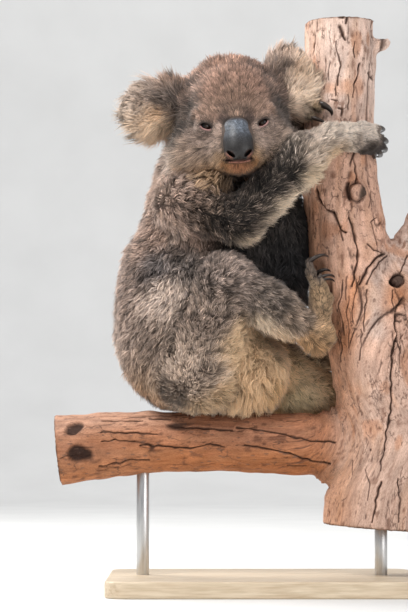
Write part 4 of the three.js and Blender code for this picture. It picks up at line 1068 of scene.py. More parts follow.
disp = np.where(np.array([touch.find(p)[2] for p in wv]) < 10.0, np.minimum(disp, 0.2), disp)
rad = np.stack([np.linalg.norm((wv - a) - ((wv - a) @ w)[:, None] * w, axis=1) for a, w in (TOP, FOOT, BR_END, LB_END)], 1)
near_end = np.stack([np.linalg.norm(wv - a, axis=1) for a, _ in (TOP, FOOT, BR_END, LB_END)], 1).argmin(1)
ring_r = rad[np.arange(len(wv)), near_end] + 1.5 * noise(wv, 22, 31)
rings = np.sin(ring_r / 0.75) * 0.5 + 0.5
disp += endcut * (0.25 * rings + 0.4 * noise(wv, 3, 33)) - 0.3
wv2 = wv + wn * disp[:, None]
C = lambda *c: np.array(c, float)
top_ = smooth_step(150, 105, dv) * ww[:, 0]
low = smooth_step(300, 400, dv) * ww[:, 0]
wc = ww[:, [0]] * C(214, 174, 153) + ww[:, [1]] * C(167, 114, 84) + ww[:, [2]] * C(192, 168, 156)
for f_, c in ((top_, C(226, 201, 188)), (low, C(199, 169, 153))):
    wc = wc * (1 - f_[:, None]) + f_[:, None] * c
pale_top = (smooth_step(200, 150, du) * smooth_step(0.1, 0.7, wn[:, 2]) * ww[:, 1])[:, None]
wc = wc * (1 - 0.6 * pale_top) + 0.6 * pale_top * C(200, 164, 144)
under = (smooth_step(0.1, -0.6, wn[:, 2]) * ww[:, 1])[:, None]
wc = wc * (1 - 0.6 * under) + 0.6 * under * C(172, 112, 70)
# painted shade: the trunk's left-facing side is darker and more orange, less so near the top
shade_left_side = (smooth_step(-0.35, -0.85, wn[:, 0]) * ww[:, 0])[:, None] * (1 - 0.6 * top_[:, None])
wc = wc * (1 - 0.45 * shade_left_side) + 0.45 * shade_left_side * C(206, 146, 108)
# the smooth grey run of the limb, and the orange wood about its knot
bu, bv = du + 4 * noise(wv, 22, 63), dv + 4 * noise(wv, 22, 64)
grey = np.exp(-(line_d(bu, bv, [(408, 236), (392, 256), (378, 276), (374, 300), (376, 330)]) / 10) ** 2)[:, None] * front[:, None]
wc = wc * (1 - 0.8 * grey) + 0.8 * grey * C(192, 172, 162)
orange = np.maximum(np.exp(-(np.hypot(bu - 398, bv - 296) / 13) ** 2), 0.8 * np.exp(-(line_d(bu, bv, [(352, 284), (346, 310), (345, 345)]) / 10) ** 2))[:, None] * front[:, None]
wc = wc * (1 - 0.75 * orange) + 0.75 * orange * C(186, 122, 82)
patch = (smooth_step(-0.1, 0.6, fbm(bark, 30, 41)))[:, None]
wc = wc * (1 - 0.26 * patch) + 0.26 * patch * C(160, 126, 110)
flake = (smooth_step(0.30, 0.55, noise(bark, 11, 65)) * smooth_step(-0.2, 0.4, noise(wv, 48, 66)))[:, None]
wc = wc * (1 - 0.42 * flake) + 0.42 * flake * C(184, 124, 90)
streak = smooth_step(0.25, 0.6, noise(grain, 7, 43))[:, None]
wc = wc * (1 - 0.16 * streak) + 0.16 * streak * C(188, 138, 100)
wc = wc * (1 + 0.07 * noise(grain, 3.2, 44)[:, None] + 0.08 * noise(bark, 5.5, 67)[:, None])
fleck = (smooth_step(0.42, 0.66, noise(bark, 3.6, 45)) * smooth_step(-0.4, 0.3, noise(wv, 40, 46)))[:, None]
wc = wc * (1 - 0.55 * fleck) + 0.55 * fleck * C(92, 60, 46)
wc = wc * (1 - 0.85 * pit[:, None]) + 0.85 * pit[:, None] * C(48, 34, 30)
# painted shade: the knot's stub at (358, 192) is darkened over its right half
wc = wc * (1 - 0.9 * stub[:, None]) + 0.9 * stub[:, None] * np.where((du > 380)[:, None], C(84, 66, 58), C(196, 158, 138) * (1 - 0.68 * smooth_step(357.5, 361.5, du + 0.25 * (dv - 192))[:, None]))
wc = wc * (1 - 0.86 * crack[:, None]) + 0.86 * crack[:, None] * C(44, 28, 22)
cut_c = C(186, 146, 104) * (1 - 0.28 * rings[:, None]) * (1 - 0.25 * smooth_step(6, 0, ring_r)[:, None])
bark_rim = smooth_step(0, 3.5, rad[np.arange(len(wv)), near_end] - np.array([TRUNK[0][3], TRUNK[-1][3], BRANCH[0][3], SIDE_LIMB[-1][3]])[near_end] + 4.5)[:, None]
cut_c = cut_c * (1 - bark_rim) + bark_rim * C(92, 66, 50)
wc = wc * (1 - endcut[:, None]) + endcut[:, None] * cut_c
wood = make("perch_wood", wv2, wtri, srgb(*wc.T).T)
ga = wood.data.attributes.new("grain", "FLOAT_VECTOR", "POINT")
ga.data.foreach_set("vector", (grain * MM).astype(np.float32).ravel())
gb = wood.data.attributes.new("flakes", "FLOAT_VECTOR", "POINT")
gb.data.foreach_set("vector", (bark * MM).astype(np.float32).ravel())
mat, nt, b = material("bark", 0.75, Specular_IOR_Level=0.25)


def bark_tex(kind, attr, scale, out=0, detail=None, **props):
    """A texture over the wood's own run of grain (or flakes)."""
    at = nt.nodes.new("ShaderNodeAttribute")
    at.attribute_name = attr
    n = nt.nodes.new("ShaderNodeTex" + kind)
    for k, x in props.items():
        setattr(n, k, x)
    n.inputs["Scale"].default_value = scale
    if detail is not None:
        n.inputs["Detail"].default_value = detail
    nt.links.new(at.outputs["Vector"], n.inputs["Vector"])
    return n.outputs[out]


def grey_ramp(x, *stops):
    return ramp(nt, x, *[(a, (g, g, g)) for a, g in stops])


n1, n2, n3 = bark_tex("Noise", "grain", 420.0, detail=4.0), bark_tex("Noise", "flakes", 1300.0, detail=3.0), bark_tex("Noise", "grain", 190.0, detail=5.0)
col = mix_rgb(nt, col_attr(nt), ramp(nt, n1, (0.32, (0.84, 0.80, 0.78)), (0.5, (1.0, 1.0, 1.0)), (0.72, (1.12, 1.11, 1.10))), 1.0, "MULTIPLY")
col = mix_rgb(nt, col, ramp(nt, n2, (0.32, (0.74, 0.70, 0.68)), (0.52, (1.0, 1.0, 1.0)), (0.7, (1.12, 1.12, 1.12))), 1.0, "MULTIPLY")
col = mix_rgb(nt, col, ramp(nt, n3, (0.3, (0.90, 0.87, 0.85)), (0.7, (1.08, 1.07, 1.05))), 1.0, "MULTIPLY")
# specks: small dark dents, one to a cell, only in some cells
speck = grey_ramp(bark_tex("Voronoi", "flakes", 270.0), (0.20, 1.0), (0.34, 0.0))
which = grey_ramp(bark_tex("Voronoi", "flakes", 270.0, out="Color"), (0.50, 0.0), (0.56, 1.0))
speck = mix_rgb(nt, speck, which, 1.0, "MULTIPLY")
col = mix_rgb(nt, col, (0.16, 0.09, 0.065, 1), mix_rgb(nt, speck, (0.62, 0.62, 0.62, 1), 1.0, "MULTIPLY"))
# hair cracks: the level lines of a noise, broken up by another
level = bark_tex("Noise", "flakes", 75.0, detail=4.0)
line = grey_ramp(level, (0.478, 0.0), (0.490, 1.0), (0.496, 1.0), (0.508, 0.0))
some = grey_ramp(bark_tex("Noise", "flakes", 48.0, detail=1.0), (0.50, 0.0), (0.58, 1.0))
hair = mix_rgb(nt, line, some, 1.0, "MULTIPLY")
col = mix_rgb(nt, col, (0.10, 0.055, 0.04, 1), mix_rgb(nt, hair, (0.7, 0.7, 0.7, 1), 1.0, "MULTIPLY"))
nt.links.new(col, b.inputs["Base Color"])
nt.links.new(grey_ramp(n1, (0.3, 0.88), (0.75, 0.6)), b.inputs["Roughness"])
high = mix_rgb(nt, n1, n2, 0.5)
high = mix_rgb(nt, high, BLACK + (1,), mix_rgb(nt, speck, (0.8, 0.8, 0.8, 1), 1.0, "MULTIPLY"))
high = mix_rgb(nt, high, BLACK + (1,), hair)
bump(nt, b, high, 0.0016, 0.75)
wood.data.materials.append(mat)
place(wood, "bark", "perch_trunk", "perch_branch", "perch_limb")
say("wood", len(wtri))

# ---- the coat ---------------------------------------------------------------------
TRIANGLES = 1480e3
fv = sv[tri]
area = np.linalg.norm(np.cross(fv[:, 1] - fv[:, 0], fv[:, 2] - fv[:, 0]), axis=1) / 2
S_bent = by_part(BENT, SW)
for e in ("ear_r", "ear_l"):
    S_bent = S_bent + 0.6 * SW[:, PI[e]] * ear_rim(SQ, e)
S_bent = S_bent * (1 - SW[:, PI["head"]] * smooth_step(18, 46, -SQ[:, 1]))
want = area * S_thick[tri].mean(1)
want[bare[tri].any(1) | (wood_d(fv.mean(1)) < 0)] = 0
scale = TRIANGLES / (want * (4 + 6 * S_bent[tri].mean(1))).sum()
say("skin area mm2", round(area.sum()), "tufts wanted", round(want.sum()), "scale", round(scale, 2))
for e in ORDER:
    say(e, "area", round((area * SW[:, PI[e]][tri].mean(1)).sum()), "tufts", round((want * scale * SW[:, PI[e]][tri].mean(1)).sum()))
want = want * scale
count = np.floor(want + RNG.random(len(want))).astype(int)
fi = np.repeat(np.arange(len(tri)), count)
r1, r2 = RNG.random(len(fi)), RNG.random(len(fi))
flip = r1 + r2 > 1
r1[flip], r2[flip] = 1 - r1[flip], 1 - r2[flip]
bary = np.stack([1 - r1 - r2, r1, r2], 1)
pick3 = tri[fi]
inter = lambda a: (a[pick3] * bary[..., None]).sum(1) if a.ndim == 2 else (a[pick3] * bary).sum(1)
unit = lambda a: a / (np.linalg.norm(a, axis=1, keepdims=True) + 1e-9)
root, nrm, way = inter(sv), unit(inter(SN)), unit(inter(SL))
length, lift, width, rgb, rq, rw = inter(S_len), inter(S_lift), inter(S_wid), inter(SKIN_COL), inter(SQ), inter(SW)
slit_d, bent_p = inter(near_slit), inter(S_bent)
keep = wood_d(root) > 0.5
root, nrm, way, length, lift, width, rgb, rq, rw, slit_d, bent_p = (a[keep] for a in (root, nrm, way, length, lift, width, rgb, rq, rw, slit_d, bent_p))
N = len(root)
bent = RNG.random(N) < bent_p
say("tufts", N, "bent", bent.sum())
own = rw.argmax(1)
is_head = own == PI["head"]
facing = is_head * smooth_step(18, 46, -rq[:, 1])
woolly = 1 - facing - rw[:, [PI[e] for e in ("hand_r", "hand_l", "foot_r", "foot_l")]].sum(1) - 0.6 * rw[:, [PI["ear_r"], PI["ear_l"]]].sum(1)
woolly = np.clip(woolly, 0.15, 1)
ear_w = rw[:, [PI["ear_r"], PI["ear_l"]]].sum(1)
creamy = smooth_step(158, 205, rgb @ np.array([0.4, 0.4, 0.2]))
length = length * np.where(bent, 1.12, 0.92) * (0.72 + 0.5 * RNG.random(N)) * (1 + 0.22 * woolly * fbm(root, 18, 71)) * (1 + 0.55 * ear_w * noise(root, 7.5, 72))
length = length * np.where(is_head, np.clip(0.30 + 0.70 * smooth_step(1, 13, slit_d), 0, 1), 1)
# where the coat has to close a gap: place in the view, reach there, extra length
FILL = [(243, 403, 32, 9), (309, 352, 11, 7), (330, 366, 12, 10), (268, 405, 14, 6), (301, 197, 10, 6)]
ray = root - EYE_AT
deep_v = ray @ FWD / (FWD @ FWD)
at_u, at_v = 204 + ray[:, 0] / deep_v * FAR / PX, 306 - ray @ UPW / (UPW @ UPW) / deep_v * FAR / PX
fill = sum(e * np.exp(-((at_u - u) ** 2 + (at_v - v) ** 2) / (r * r)) for u, v, r, e in FILL) * (1 - is_head)
length = length + fill * smooth_step(0.3, -0.3, nrm[:, 2] - 0.8 * nrm[:, 0])
lift = lift + 4.5 * fill * smooth_step(0.3, -0.3, nrm[:, 2] - 0.8 * nrm[:, 0])
# small rolls in the wool, and the lie of the coat with a little of each tuft's own
rolls = np.stack([fbm(root, 13, 101 + k) for k in range(3)], 1)
nrm_w = unit(nrm + 0.55 * woolly[:, None] * rolls)
way = unit(way + 0.55 * woolly[:, None] * np.stack([noise(root, 9, 111 + k) for k in range(3)], 1) + (0.14 + 0.24 * woolly[:, None]) * RNG.normal(size=(N, 3)))
way = unit(way - (way * nrm_w).sum(1, keepdims=True) * nrm_w)
lift = np.radians(np.clip(lift + (4 + 7 * woolly) * RNG.normal(size=N), 8, 78))
a1, a2 = lift + 0.22, lift - 0.32
d1 = way * np.cos(a1)[:, None] + nrm_w * np.sin(a1)[:, None]
d2 = way * np.cos(a2)[:, None] + nrm_w * np.sin(a2)[:, None]
L = length[:, None]
side0 = unit(np.cross(way, nrm_w))
curl = side0 * (RNG.normal(size=N) * 0.12)[:, None]
mid = root + L * 0.5 * unit(d1 + 0.4 * curl)
tip = mid + L * 0.5 * unit(d2 + curl)
tip[:, 2] -= 0.05 * length
spacing = 3.2 + 0.34 * length
is_clump = RNG.random(N) < 1.0 / np.maximum(spacing ** 2 * inter(S_thick)[keep] * scale, 4.0)
ci = np.flatnonzero(is_clump)
tree = kdtree.KDTree(len(ci))
for k, i in enumerate(ci):
    tree.insert(root[i], k)
tree.balance()
near = np.array([tree.find(p)[1] for p in root])
boss = ci[near]
pull = (0.18 + 0.46 * RNG.random(N)) * np.where(is_head, 0.75, 1) * (length > 4) * np.where(length > 18, 1.35, 1)
gone = np.linalg.norm(root - root[boss], axis=1)
pull = np.where((gone < 1.3 * spacing) & ((nrm * nrm[boss]).sum(1) > 0.5), pull, 0)[:, None]
tip = tip + pull * (tip[boss] - tip)
mid = mid + 0.35 * pull * (mid[boss] - mid)
# keep clear of the wood and the eyes
for pts, gap in ((mid, 0.6), (tip, 0.5)):
    dw = wood_d(pts)
    hit = dw < gap
    if hit.any():
        g = gradient(wood_d, pts[hit])
        pts[hit] += g * (gap - dw[hit])[:, None]
for s in "rl":
    c = EYE_C[s]
    for pts in (mid, tip):
        q = to_head(pts)
        hit = (np.linalg.norm(q - c, axis=1) < EYE_R + 6) & (shape_d([l for l in LIDS if l["side"] == s][0]["slit"], q) < 1.2)
        pts[hit] = root[hit] + 0.25 * (pts[hit] - root[hit])
clump_tone = np.exp((0.05 + 0.15 * woolly + 0.07 * is_head) * RNG.normal(size=N)[boss])
# painted shade: tufts towards the edge of a lock, in the partings between locks, are darkened
parting_shade = 1 - (0.08 + 0.34 * woolly) * smooth_step(0.42, 0.95, gone / spacing) * (pull[:, 0] > 0)
mottle = 1 + woolly * (0.26 * fbm(root, 8, 91) + 0.16 * fbm(root, 24, 92)) + (0.12 + 0.10 * facing) * noise(root, 2.8, 93) + 0.10 * facing * fbm(root, 9, 94)
limb_w = rw[:, [PI[n] for n in PI if n[:-2] in ("forearm", "upper_arm", "shank", "thigh")]].sum(1)
mottle = mottle + 0.30 * limb_w * fbm(root, 4.2, 95) - 0.04 * limb_w
dark_arm = rw[:, [PI["forearm_r"], PI["forearm_l"], PI["upper_arm_r"], PI["upper_arm_l"]]].sum(1) * smooth_step(130, 80, rgb.mean(1))
clump_tone = clump_tone * np.exp(0.28 * dark_arm * RNG.normal(size=N)[boss])
own_tone = np.clip(np.exp((0.26 + 0.12 * woolly + 0.10 * dark_arm + 0.14 * is_head - 0.10 * creamy) * RNG.normal(size=N)), 0.3, 3)
own_tone = own_tone * np.where(RNG.random(N) < 0.20, 3.4, 0.74) ** dark_arm
limbs = [("torso", "neck"), ("thigh_r", "shank_r", "foot_r"), ("thigh_l", "shank_l", "foot_l"), ("upper_arm_r", "forearm_r", "hand_r"), ("upper_arm_l", "forearm_l", "hand_l")]
# painted shade: darkens the near side of the coat in the folds where a limb meets the body
crease_shade = smooth_step(0.18, 0.5, 1 - np.max([rw[:, [PI[n] for n in g]].sum(1) for g in limbs], 0)) * smooth_step(-25, -60, root[:, 1]) * (1 - is_head) * (1 - ear_w) * (1 - rw[:, PI["neck"]])
tone = clump_tone * own_tone * parting_shade * np.clip(mottle, 0.4, 1.7) * (1 + 0.30 * creamy) * (1 + 0.18 * ear_w) * (1 - 0.30 * crease_shade)
rgb_lin = srgb(*np.clip(rgb, 4, 252).T).T * tone[:, None]
warm = 1 + 0.022 * RNG.normal(size=(N, 1)) * np.array([1.0, 0.2, -1.0])
rgb_lin = rgb_lin * warm
ROOT_DARK, MID_TONE = 0.30, 0.88
pale = 1.10 + 0.9 * RNG.random(N) ** 3 + dark_arm * 1.6 * (RNG.random(N) < 0.3)
rk = np.stack([rgb_lin * (ROOT_DARK + 0.28 * facing + 0.34 * creamy * (1 - facing) + 0.15 * ear_w)[:, None], rgb_lin * (MID_TONE + 0.08 * creamy[:, None]), rgb_lin * pale[:, None]], 1)
rk = np.maximum(rk / np.maximum(1.0, rk.max(2, keepdims=True) / 0.93), 0.002)
half = width * (0.75 + 0.5 * RNG.random(N)) / 2 * np.where(bent, 1.0, 0.82)


BENT_T = np.array([[2, 1, 0], [0, 1, 4], [0, 4, 3], [1, 2, 5], [1, 5, 4], [2, 0, 3], [2, 3, 5], [3, 4, 6], [4, 5, 6], [5, 3, 6]])
PLAIN_T = np.array([[2, 1, 0], [0, 1, 3], [1, 2, 3], [2, 0, 3]])


def tufts(name, idx, slot, mat):
    """Closed three-sided spikes in one mesh: those with a bend, then the straight ones."""
    Vs, Fs, Cs, Ns, UVs, first = [], [], [], [], [], 0
    lo, hi = root[idx].min(0), root[idx].max(0)
    for kind in (True, False):
        id_ = idx[bent[idx] == kind]
        n = len(id_)
        if not n:
            continue
        r, m, t, nn, ns = root[id_], mid[id_], tip[id_], nrm[id_], nrm_w[id_]
        ax1 = unit(m - r) if kind else unit(t - r)
        s1 = unit(np.cross(ax1, nn))
        u1 = unit(np.cross(s1, ax1))
        h = half[id_][:, None]
        T, top = (BENT_T, 6) if kind else (PLAIN_T, 3)
        V, NV, col = (np.empty((n, top + 1, 3)) for _ in range(3))
        base = r - nn * 0.7
        for k, ang in enumerate((90.0, 210.0, 330.0)):
            ca, sa = math.cos(math.radians(ang)), math.sin(math.radians(ang))
            off = s1 * ca + u1 * sa * 0.55
            V[:, k] = base + off * h
            NV[:, k] = unit(ns + 0.55 * unit(off))
            col[:, k] = rk[id_, 0]
            if kind:
                V[:, 3 + k] = m + off * h * 0.74
                NV[:, 3 + k] = unit(ns + 0.65 * unit(off))
                col[:, 3 + k] = rk[id_, 1]
        V[:, top], NV[:, top], col[:, top] = t, unit(ns + 0.4 * u1), rk[id_, 2]
        a = V[0] - V[0].mean(0)
        if sum(np.dot(a[i], np.cross(a[j], a[k])) for i, j, k in T) < 0:
            T = T[:, ::-1]
        # a place for each tuft on an unwrap of this stretch of skin: six sides, each flat in its own cell
        big = np.abs(nn).argmax(1)
        isle = big * 2 + (nn[np.arange(n), big] < 0)
        q = (r - lo) / np.maximum(hi - lo, 1e-6)
        uu = np.where(big == 0, q[:, 1], q[:, 0])
        vv = np.where(big == 2, q[:, 1], q[:, 2])
        at = np.stack([(isle % 3 + 0.02 + 0.96 * uu) / 3, (isle // 3 + 0.02 + 0.96 * vv) / 2], 1)
        pat = np.array([[-1.0, -1.0], [0.0, -1.0], [1.0, -1.0]] + ([[-0.7, 0.2], [0.0, 0.2], [0.7, 0.2]] if kind else []) + [[0.0, 1.0]]) * 0.0015
        UVs.append((at[:, None] + pat[None]).reshape(-1, 2))
        Fs.append((T[None] + (top + 1) * np.arange(n)[:, None, None]).reshape(-1, 3) + first)
        first += n * (top + 1)
        Vs.append(V.reshape(-1, 3)), Cs.append(col.reshape(-1, 3)), Ns.append(NV.reshape(-1, 3))
    F, uv = np.concatenate(Fs), np.concatenate(UVs)
    ob = make(name, np.concatenate(Vs), F, np.concatenate(Cs), normals=np.concatenate(Ns).astype(np.float32))
    lay = ob.data.uv_layers.new(name="OFBake")
    lay.data.foreach_set("uv", uv[F.ravel()].astype(np.float32).ravel())
    ob.data.materials.append(mat)
    place(ob, slot)
    return len(F)


names_of = np.array(ORDER)[own]
zone = np.where(is_head & (rq[:, 1] < -26), "face", np.where(is_head, "head", names_of)).astype("U16")
zone[np.isin(zone, ["ear_r", "ear_l"])] = "ears"
zone[np.isin(zone, ["upper_arm_r", "forearm_r"])] = "arm_r"
zone[np.isin(zone, ["upper_arm_l", "forearm_l"])] = "arm_l"
zone[np.isin(zone, ["thigh_r", "shank_r"])] = "leg_r"
zone[np.isin(zone, ["thigh_l", "shank_l"])] = "leg_l"
zone[np.isin(zone, ["hand_r", "hand_l", "foot_r", "foot_l"])] = "hands_feet"
total = 0
for z in ("face", "head", "ears", "neck", "torso", "arm_r", "arm_l", "leg_r", "leg_l", "hands_feet"):
    idx = np.flatnonzero(zone == z)
    if not len(idx):
        continue
    idx = idx[np.argsort(root[idx, 2], kind="stable")]
    parts = int(math.ceil((4 * len(idx) + 6 * bent[idx].sum()) / 180000))
    for k, chunk in enumerate(np.array_split(idx, parts)):
        nm = "coat_" + z + ("" if parts == 1 else "_%d" % (k + 1))
        slot, mt = ("ear_fur", MAT_EAR) if z == "ears" else ("hand_fur", MAT_HAND) if z == "hands_feet" else ("coat_fur", MAT_COAT)
        n = tufts(nm, chunk, slot, mt)
        say(nm, n)
        total += n
say("coat", total)

# ---- the nose -------------------------------------------------------------------
NOSTRILS = [ball("nostril_r", HL(-8.8, -35.0, 73), (1.7, 8.0, 5.4), turn=(0, -48, 10)), ball("nostril_l", HL(7.8, -35.0, 73), (1.7, 8.0, 5.4), turn=(0, 48, -10))]


def nose_d(q):
    d = shapes_d(NOSE, q) + 0.2
    for s in NOSTRILS:
        d = -smin(-d, shape_d(s, q), 1.6)
    d = -smin(-d, shape_d(ball("philtrum", HL(-0.5, -43.5, 76), (1.0, 6, 5.5)), q), 1.6)
    return d


nlo, nhi = HL(-24, -52, 36) * [1, 1, 1], HL(24, 14, 86)
nlo, nhi = np.minimum(nlo, nhi), np.maximum(nlo, nhi)
nh = 1.0
nvv, nq = nets(grid_field(nose_d, nlo, nhi, nh, 8), nlo, nh)
ntri = np.concatenate([nq[:, [0, 1, 2]], nq[:, [0, 2, 3]]])
nvv, ntri = biggest(nvv, ntri)
nvv = settle(nose_d, nvv, 2, 0.5)
nn_ = gradient(nose_d, nvv, 0.3)
dn = np.min([shape_d(s, nvv) for s in NOSTRILS], 0)
up_ = nvv[:, 2] / PX
tone_top = smooth_step(-30, -8, up_)[:, None]
# painted sheen: where the upper nose faces up it is made paler and bluer
sheen_facing_up = smooth_step(0.15, 0.75, nn_[:, 2])[:, None]
# speckles: a little mottling all over, much stronger on the upper nose as painted glints
speckle_and_glint = fbm(nvv, 2.2, 81)[:, None]
nc = C(38, 34, 33) * (1 - tone_top) + tone_top * C(92, 98, 108)
nc = nc * (1 - 0.5 * sheen_facing_up * tone_top) + 0.5 * sheen_facing_up * tone_top * C(134, 144, 158)
nc = nc * (1 + (0.16 + 0.42 * tone_top) * speckle_and_glint + 0.20 * fbm(nvv, 6.0, 82)[:, None] * (1 - 0.5 * tone_top))
edge = smooth_step(0.20, 0.80, np.abs(nn_[:, 0]))[:, None] * smooth_step(-12, 4, up_)[:, None]
nc = nc * (1 - 0.65 * edge) + 0.65 * edge * C(42, 37, 37)
rim_top = smooth_step(-3.5, 0.5, up_)[:, None]
nc = nc * (1 - 0.75 * rim_top) + 0.75 * rim_top * C(52, 42, 38)
deep = -shapes_d(NOSE, nvv)
near_n = smooth_step(3.4, 0.8, dn)[:, None]
outer = smooth_step(5.5, 10.0, np.abs(nvv[:, 0] + 0.5))[:, None] * smooth_step(-31, -36, up_)[:, None]
pink = np.clip(near_n * outer * smooth_step(4.5, 2.0, deep)[:, None] * (1 + 0.3 * speckle_and_glint), 0, 1)
nc = nc * (1 - 0.85 * pink) + 0.85 * pink * C(196, 128, 104)
hole = smooth_step(2.0, 3.6, deep)[:, None] * smooth_step(1.4, 0.2, dn)[:, None]
nc = nc * (1 - hole) + hole * C(30, 16, 15)
base_ = smooth_step(-40.0, -42.5, up_)[:, None]
nc = nc * (1 - 0.6 * base_) + 0.6 * base_ * C(168, 98, 82)
nose = make("koala_nose", from_head(nvv), ntri, srgb(*np.clip(nc, 3, 250).T).T)
mat, nt, b = material("nose_leather", 0.40, Specular_IOR_Level=0.5)
vo = object_noise(nt, 340.0, kind="ShaderNodeTexVoronoi")
no = object_noise(nt, 500.0, 4.0)
# pebbled skin, each pebble lighter in its middle, partly as a painted highlight; then fine bright specks, painted
# glints
f = ramp(nt, vo.outputs["Distance"], (0.0, (1.50, 1.50, 1.48)), (0.55, (0.50, 0.50, 0.50)))
glint_grit = object_noise(nt, 950.0, 2.0)
f = mix_rgb(nt, f, ramp(nt, glint_grit.outputs[0], (0.50, (0.88, 0.88, 0.88)), (0.66, (2.1, 2.1, 2.05))), 1.0, "MULTIPLY")
nt.links.new(mix_rgb(nt, col_attr(nt), f, 1.0, "MULTIPLY"), b.inputs["Base Color"])
nt.links.new(ramp(nt, no.outputs[0], (0.3, (0.34,) * 3), (0.7, (0.55,) * 3)), b.inputs["Roughness"])
bump(nt, b, ramp(nt, vo.outputs["Distance"], (0.1, (1.0, 1.0, 1.0)), (0.6, (0.0, 0.0, 0.0))), 0.0011, 0.9)
nose.data.materials.append(mat)
place(nose, "nose_skin", "nose")

# ---- the eyes ---------------------------------------------------------------------
EYE_WAY = {"r": np.array([-0.34, -0.93, -0.10]), "l": np.array([0.30, -0.95, -0.10])}
mat_eye, nt, b = material("eye", 0.14, Specular_IOR_Level=0.2, Coat_Weight=0.2, Coat_Roughness=0.04)
en = object_noise(nt, 1600.0, 3.0)
f = ramp(nt, en.outputs[0], (0.3, (0.75, 0.72, 0.7)), (0.7, (1.2, 1.15, 1.1)))
nt.links.new(mix_rgb(nt, col_attr(nt), f, 1.0, "MULTIPLY"), b.inputs["Base Color"])
for s in "rl":
    nu, nw = 64, 40
    th = np.linspace(0, math.pi, nw + 1)[1:-1]
    ph = np.arange(nu) * 2 * math.pi / nu
    zax = EYE_WAY[s] / np.linalg.norm(EYE_WAY[s])
    xax = np.cross([0, 0, 1], zax)
    xax /= np.linalg.norm(xax)
    yax = np.cross(zax, xax)
    d = np.stack([np.sin(th)[:, None] * np.cos(ph), np.sin(th)[:, None] * np.sin(ph), np.cos(th)[:, None] * np.ones(nu)], -1).reshape(-1, 3)
    d = np.concatenate([d, [[0, 0, 1]], [[0, 0, -1]]])
    ang = np.degrees(np.arccos(np.clip(d[:, 2], -1, 1)))
    bulge = 0.55 * np.exp(-(ang / 26) ** 2)
    r = EYE_R - 0.25 + bulge
    pts = (d[:, [0]] * xax + d[:, [1]] * yax + d[:, [2]] * zax) * r[:, None] + EYE_C[s]
    F = []
    for i in range(len(th) - 1):
        for j in range(nu):
            a, c = i * nu + j, i * nu + (j + 1) % nu
            F += [[a, a + nu, c + nu], [a, c + nu, c]]
    top, bot, last = len(d) - 2, len(d) - 1, (len(th) - 1) * nu
    for j in range(nu):
        F += [[top, j, (j + 1) % nu], [bot, last + (j + 1) % nu, last + j]]
    iris = smooth_step(44, 40, ang)[:, None]
    pup = smooth_step(1.25, 0.85, np.hypot(d[:, 0] / 0.20, d[:, 1] / 0.46))[:, None] * smooth_step(60, 50, ang)[:, None]
    spoke = 0.16 * np.sin(np.degrees(np.arctan2(d[:, 1], d[:, 0])) * 0.9)[:, None]
    ec = C(48, 36, 32) * (1 - iris) + iris * (C(40, 27, 18) * (1 + spoke))
    ring = np.exp(-((ang - 41) / 4) ** 2)[:, None]
    ec = ec * (1 - 0.7 * ring) + 0.7 * ring * C(24, 16, 14)
    ec = ec * (1 - pup) + pup * C(8, 7, 8)
    ob = make("eyeball_" + s, from_head(pts), np.array(F), srgb(*np.clip(ec, 2, 250).T).T)
    ob.data.materials.append(mat_eye)
    place(ob, "eye", "eye_" + s)

# ---- the claws ----------------------------------------------------------------------
mat_claw, nt, b = material("claw_horn", 0.3, Specular_IOR_Level=0.4)
cn = object_noise(nt, 420.0, 4.0)
f = ramp(nt, cn.outputs[0], (0.3, (0.7, 0.7, 0.7)), (0.7, (1.25, 1.22, 1.2)))
nt.links.new(mix_rgb(nt, col_attr(nt), f, 1.0, "MULTIPLY"), b.inputs["Base Color"])
bump(nt, b, cn.outputs[0], 0.0003, 0.4)


def bend(pts, t):
    """A smooth curve through three points."""
    p0, p1, p2 = pts
    c = 2 * p1 - 0.5 * (p0 + p2)
    return ((1 - t) ** 2)[:, None] * p0 + (2 * t * (1 - t))[:, None] * c + (t ** 2)[:, None] * p2


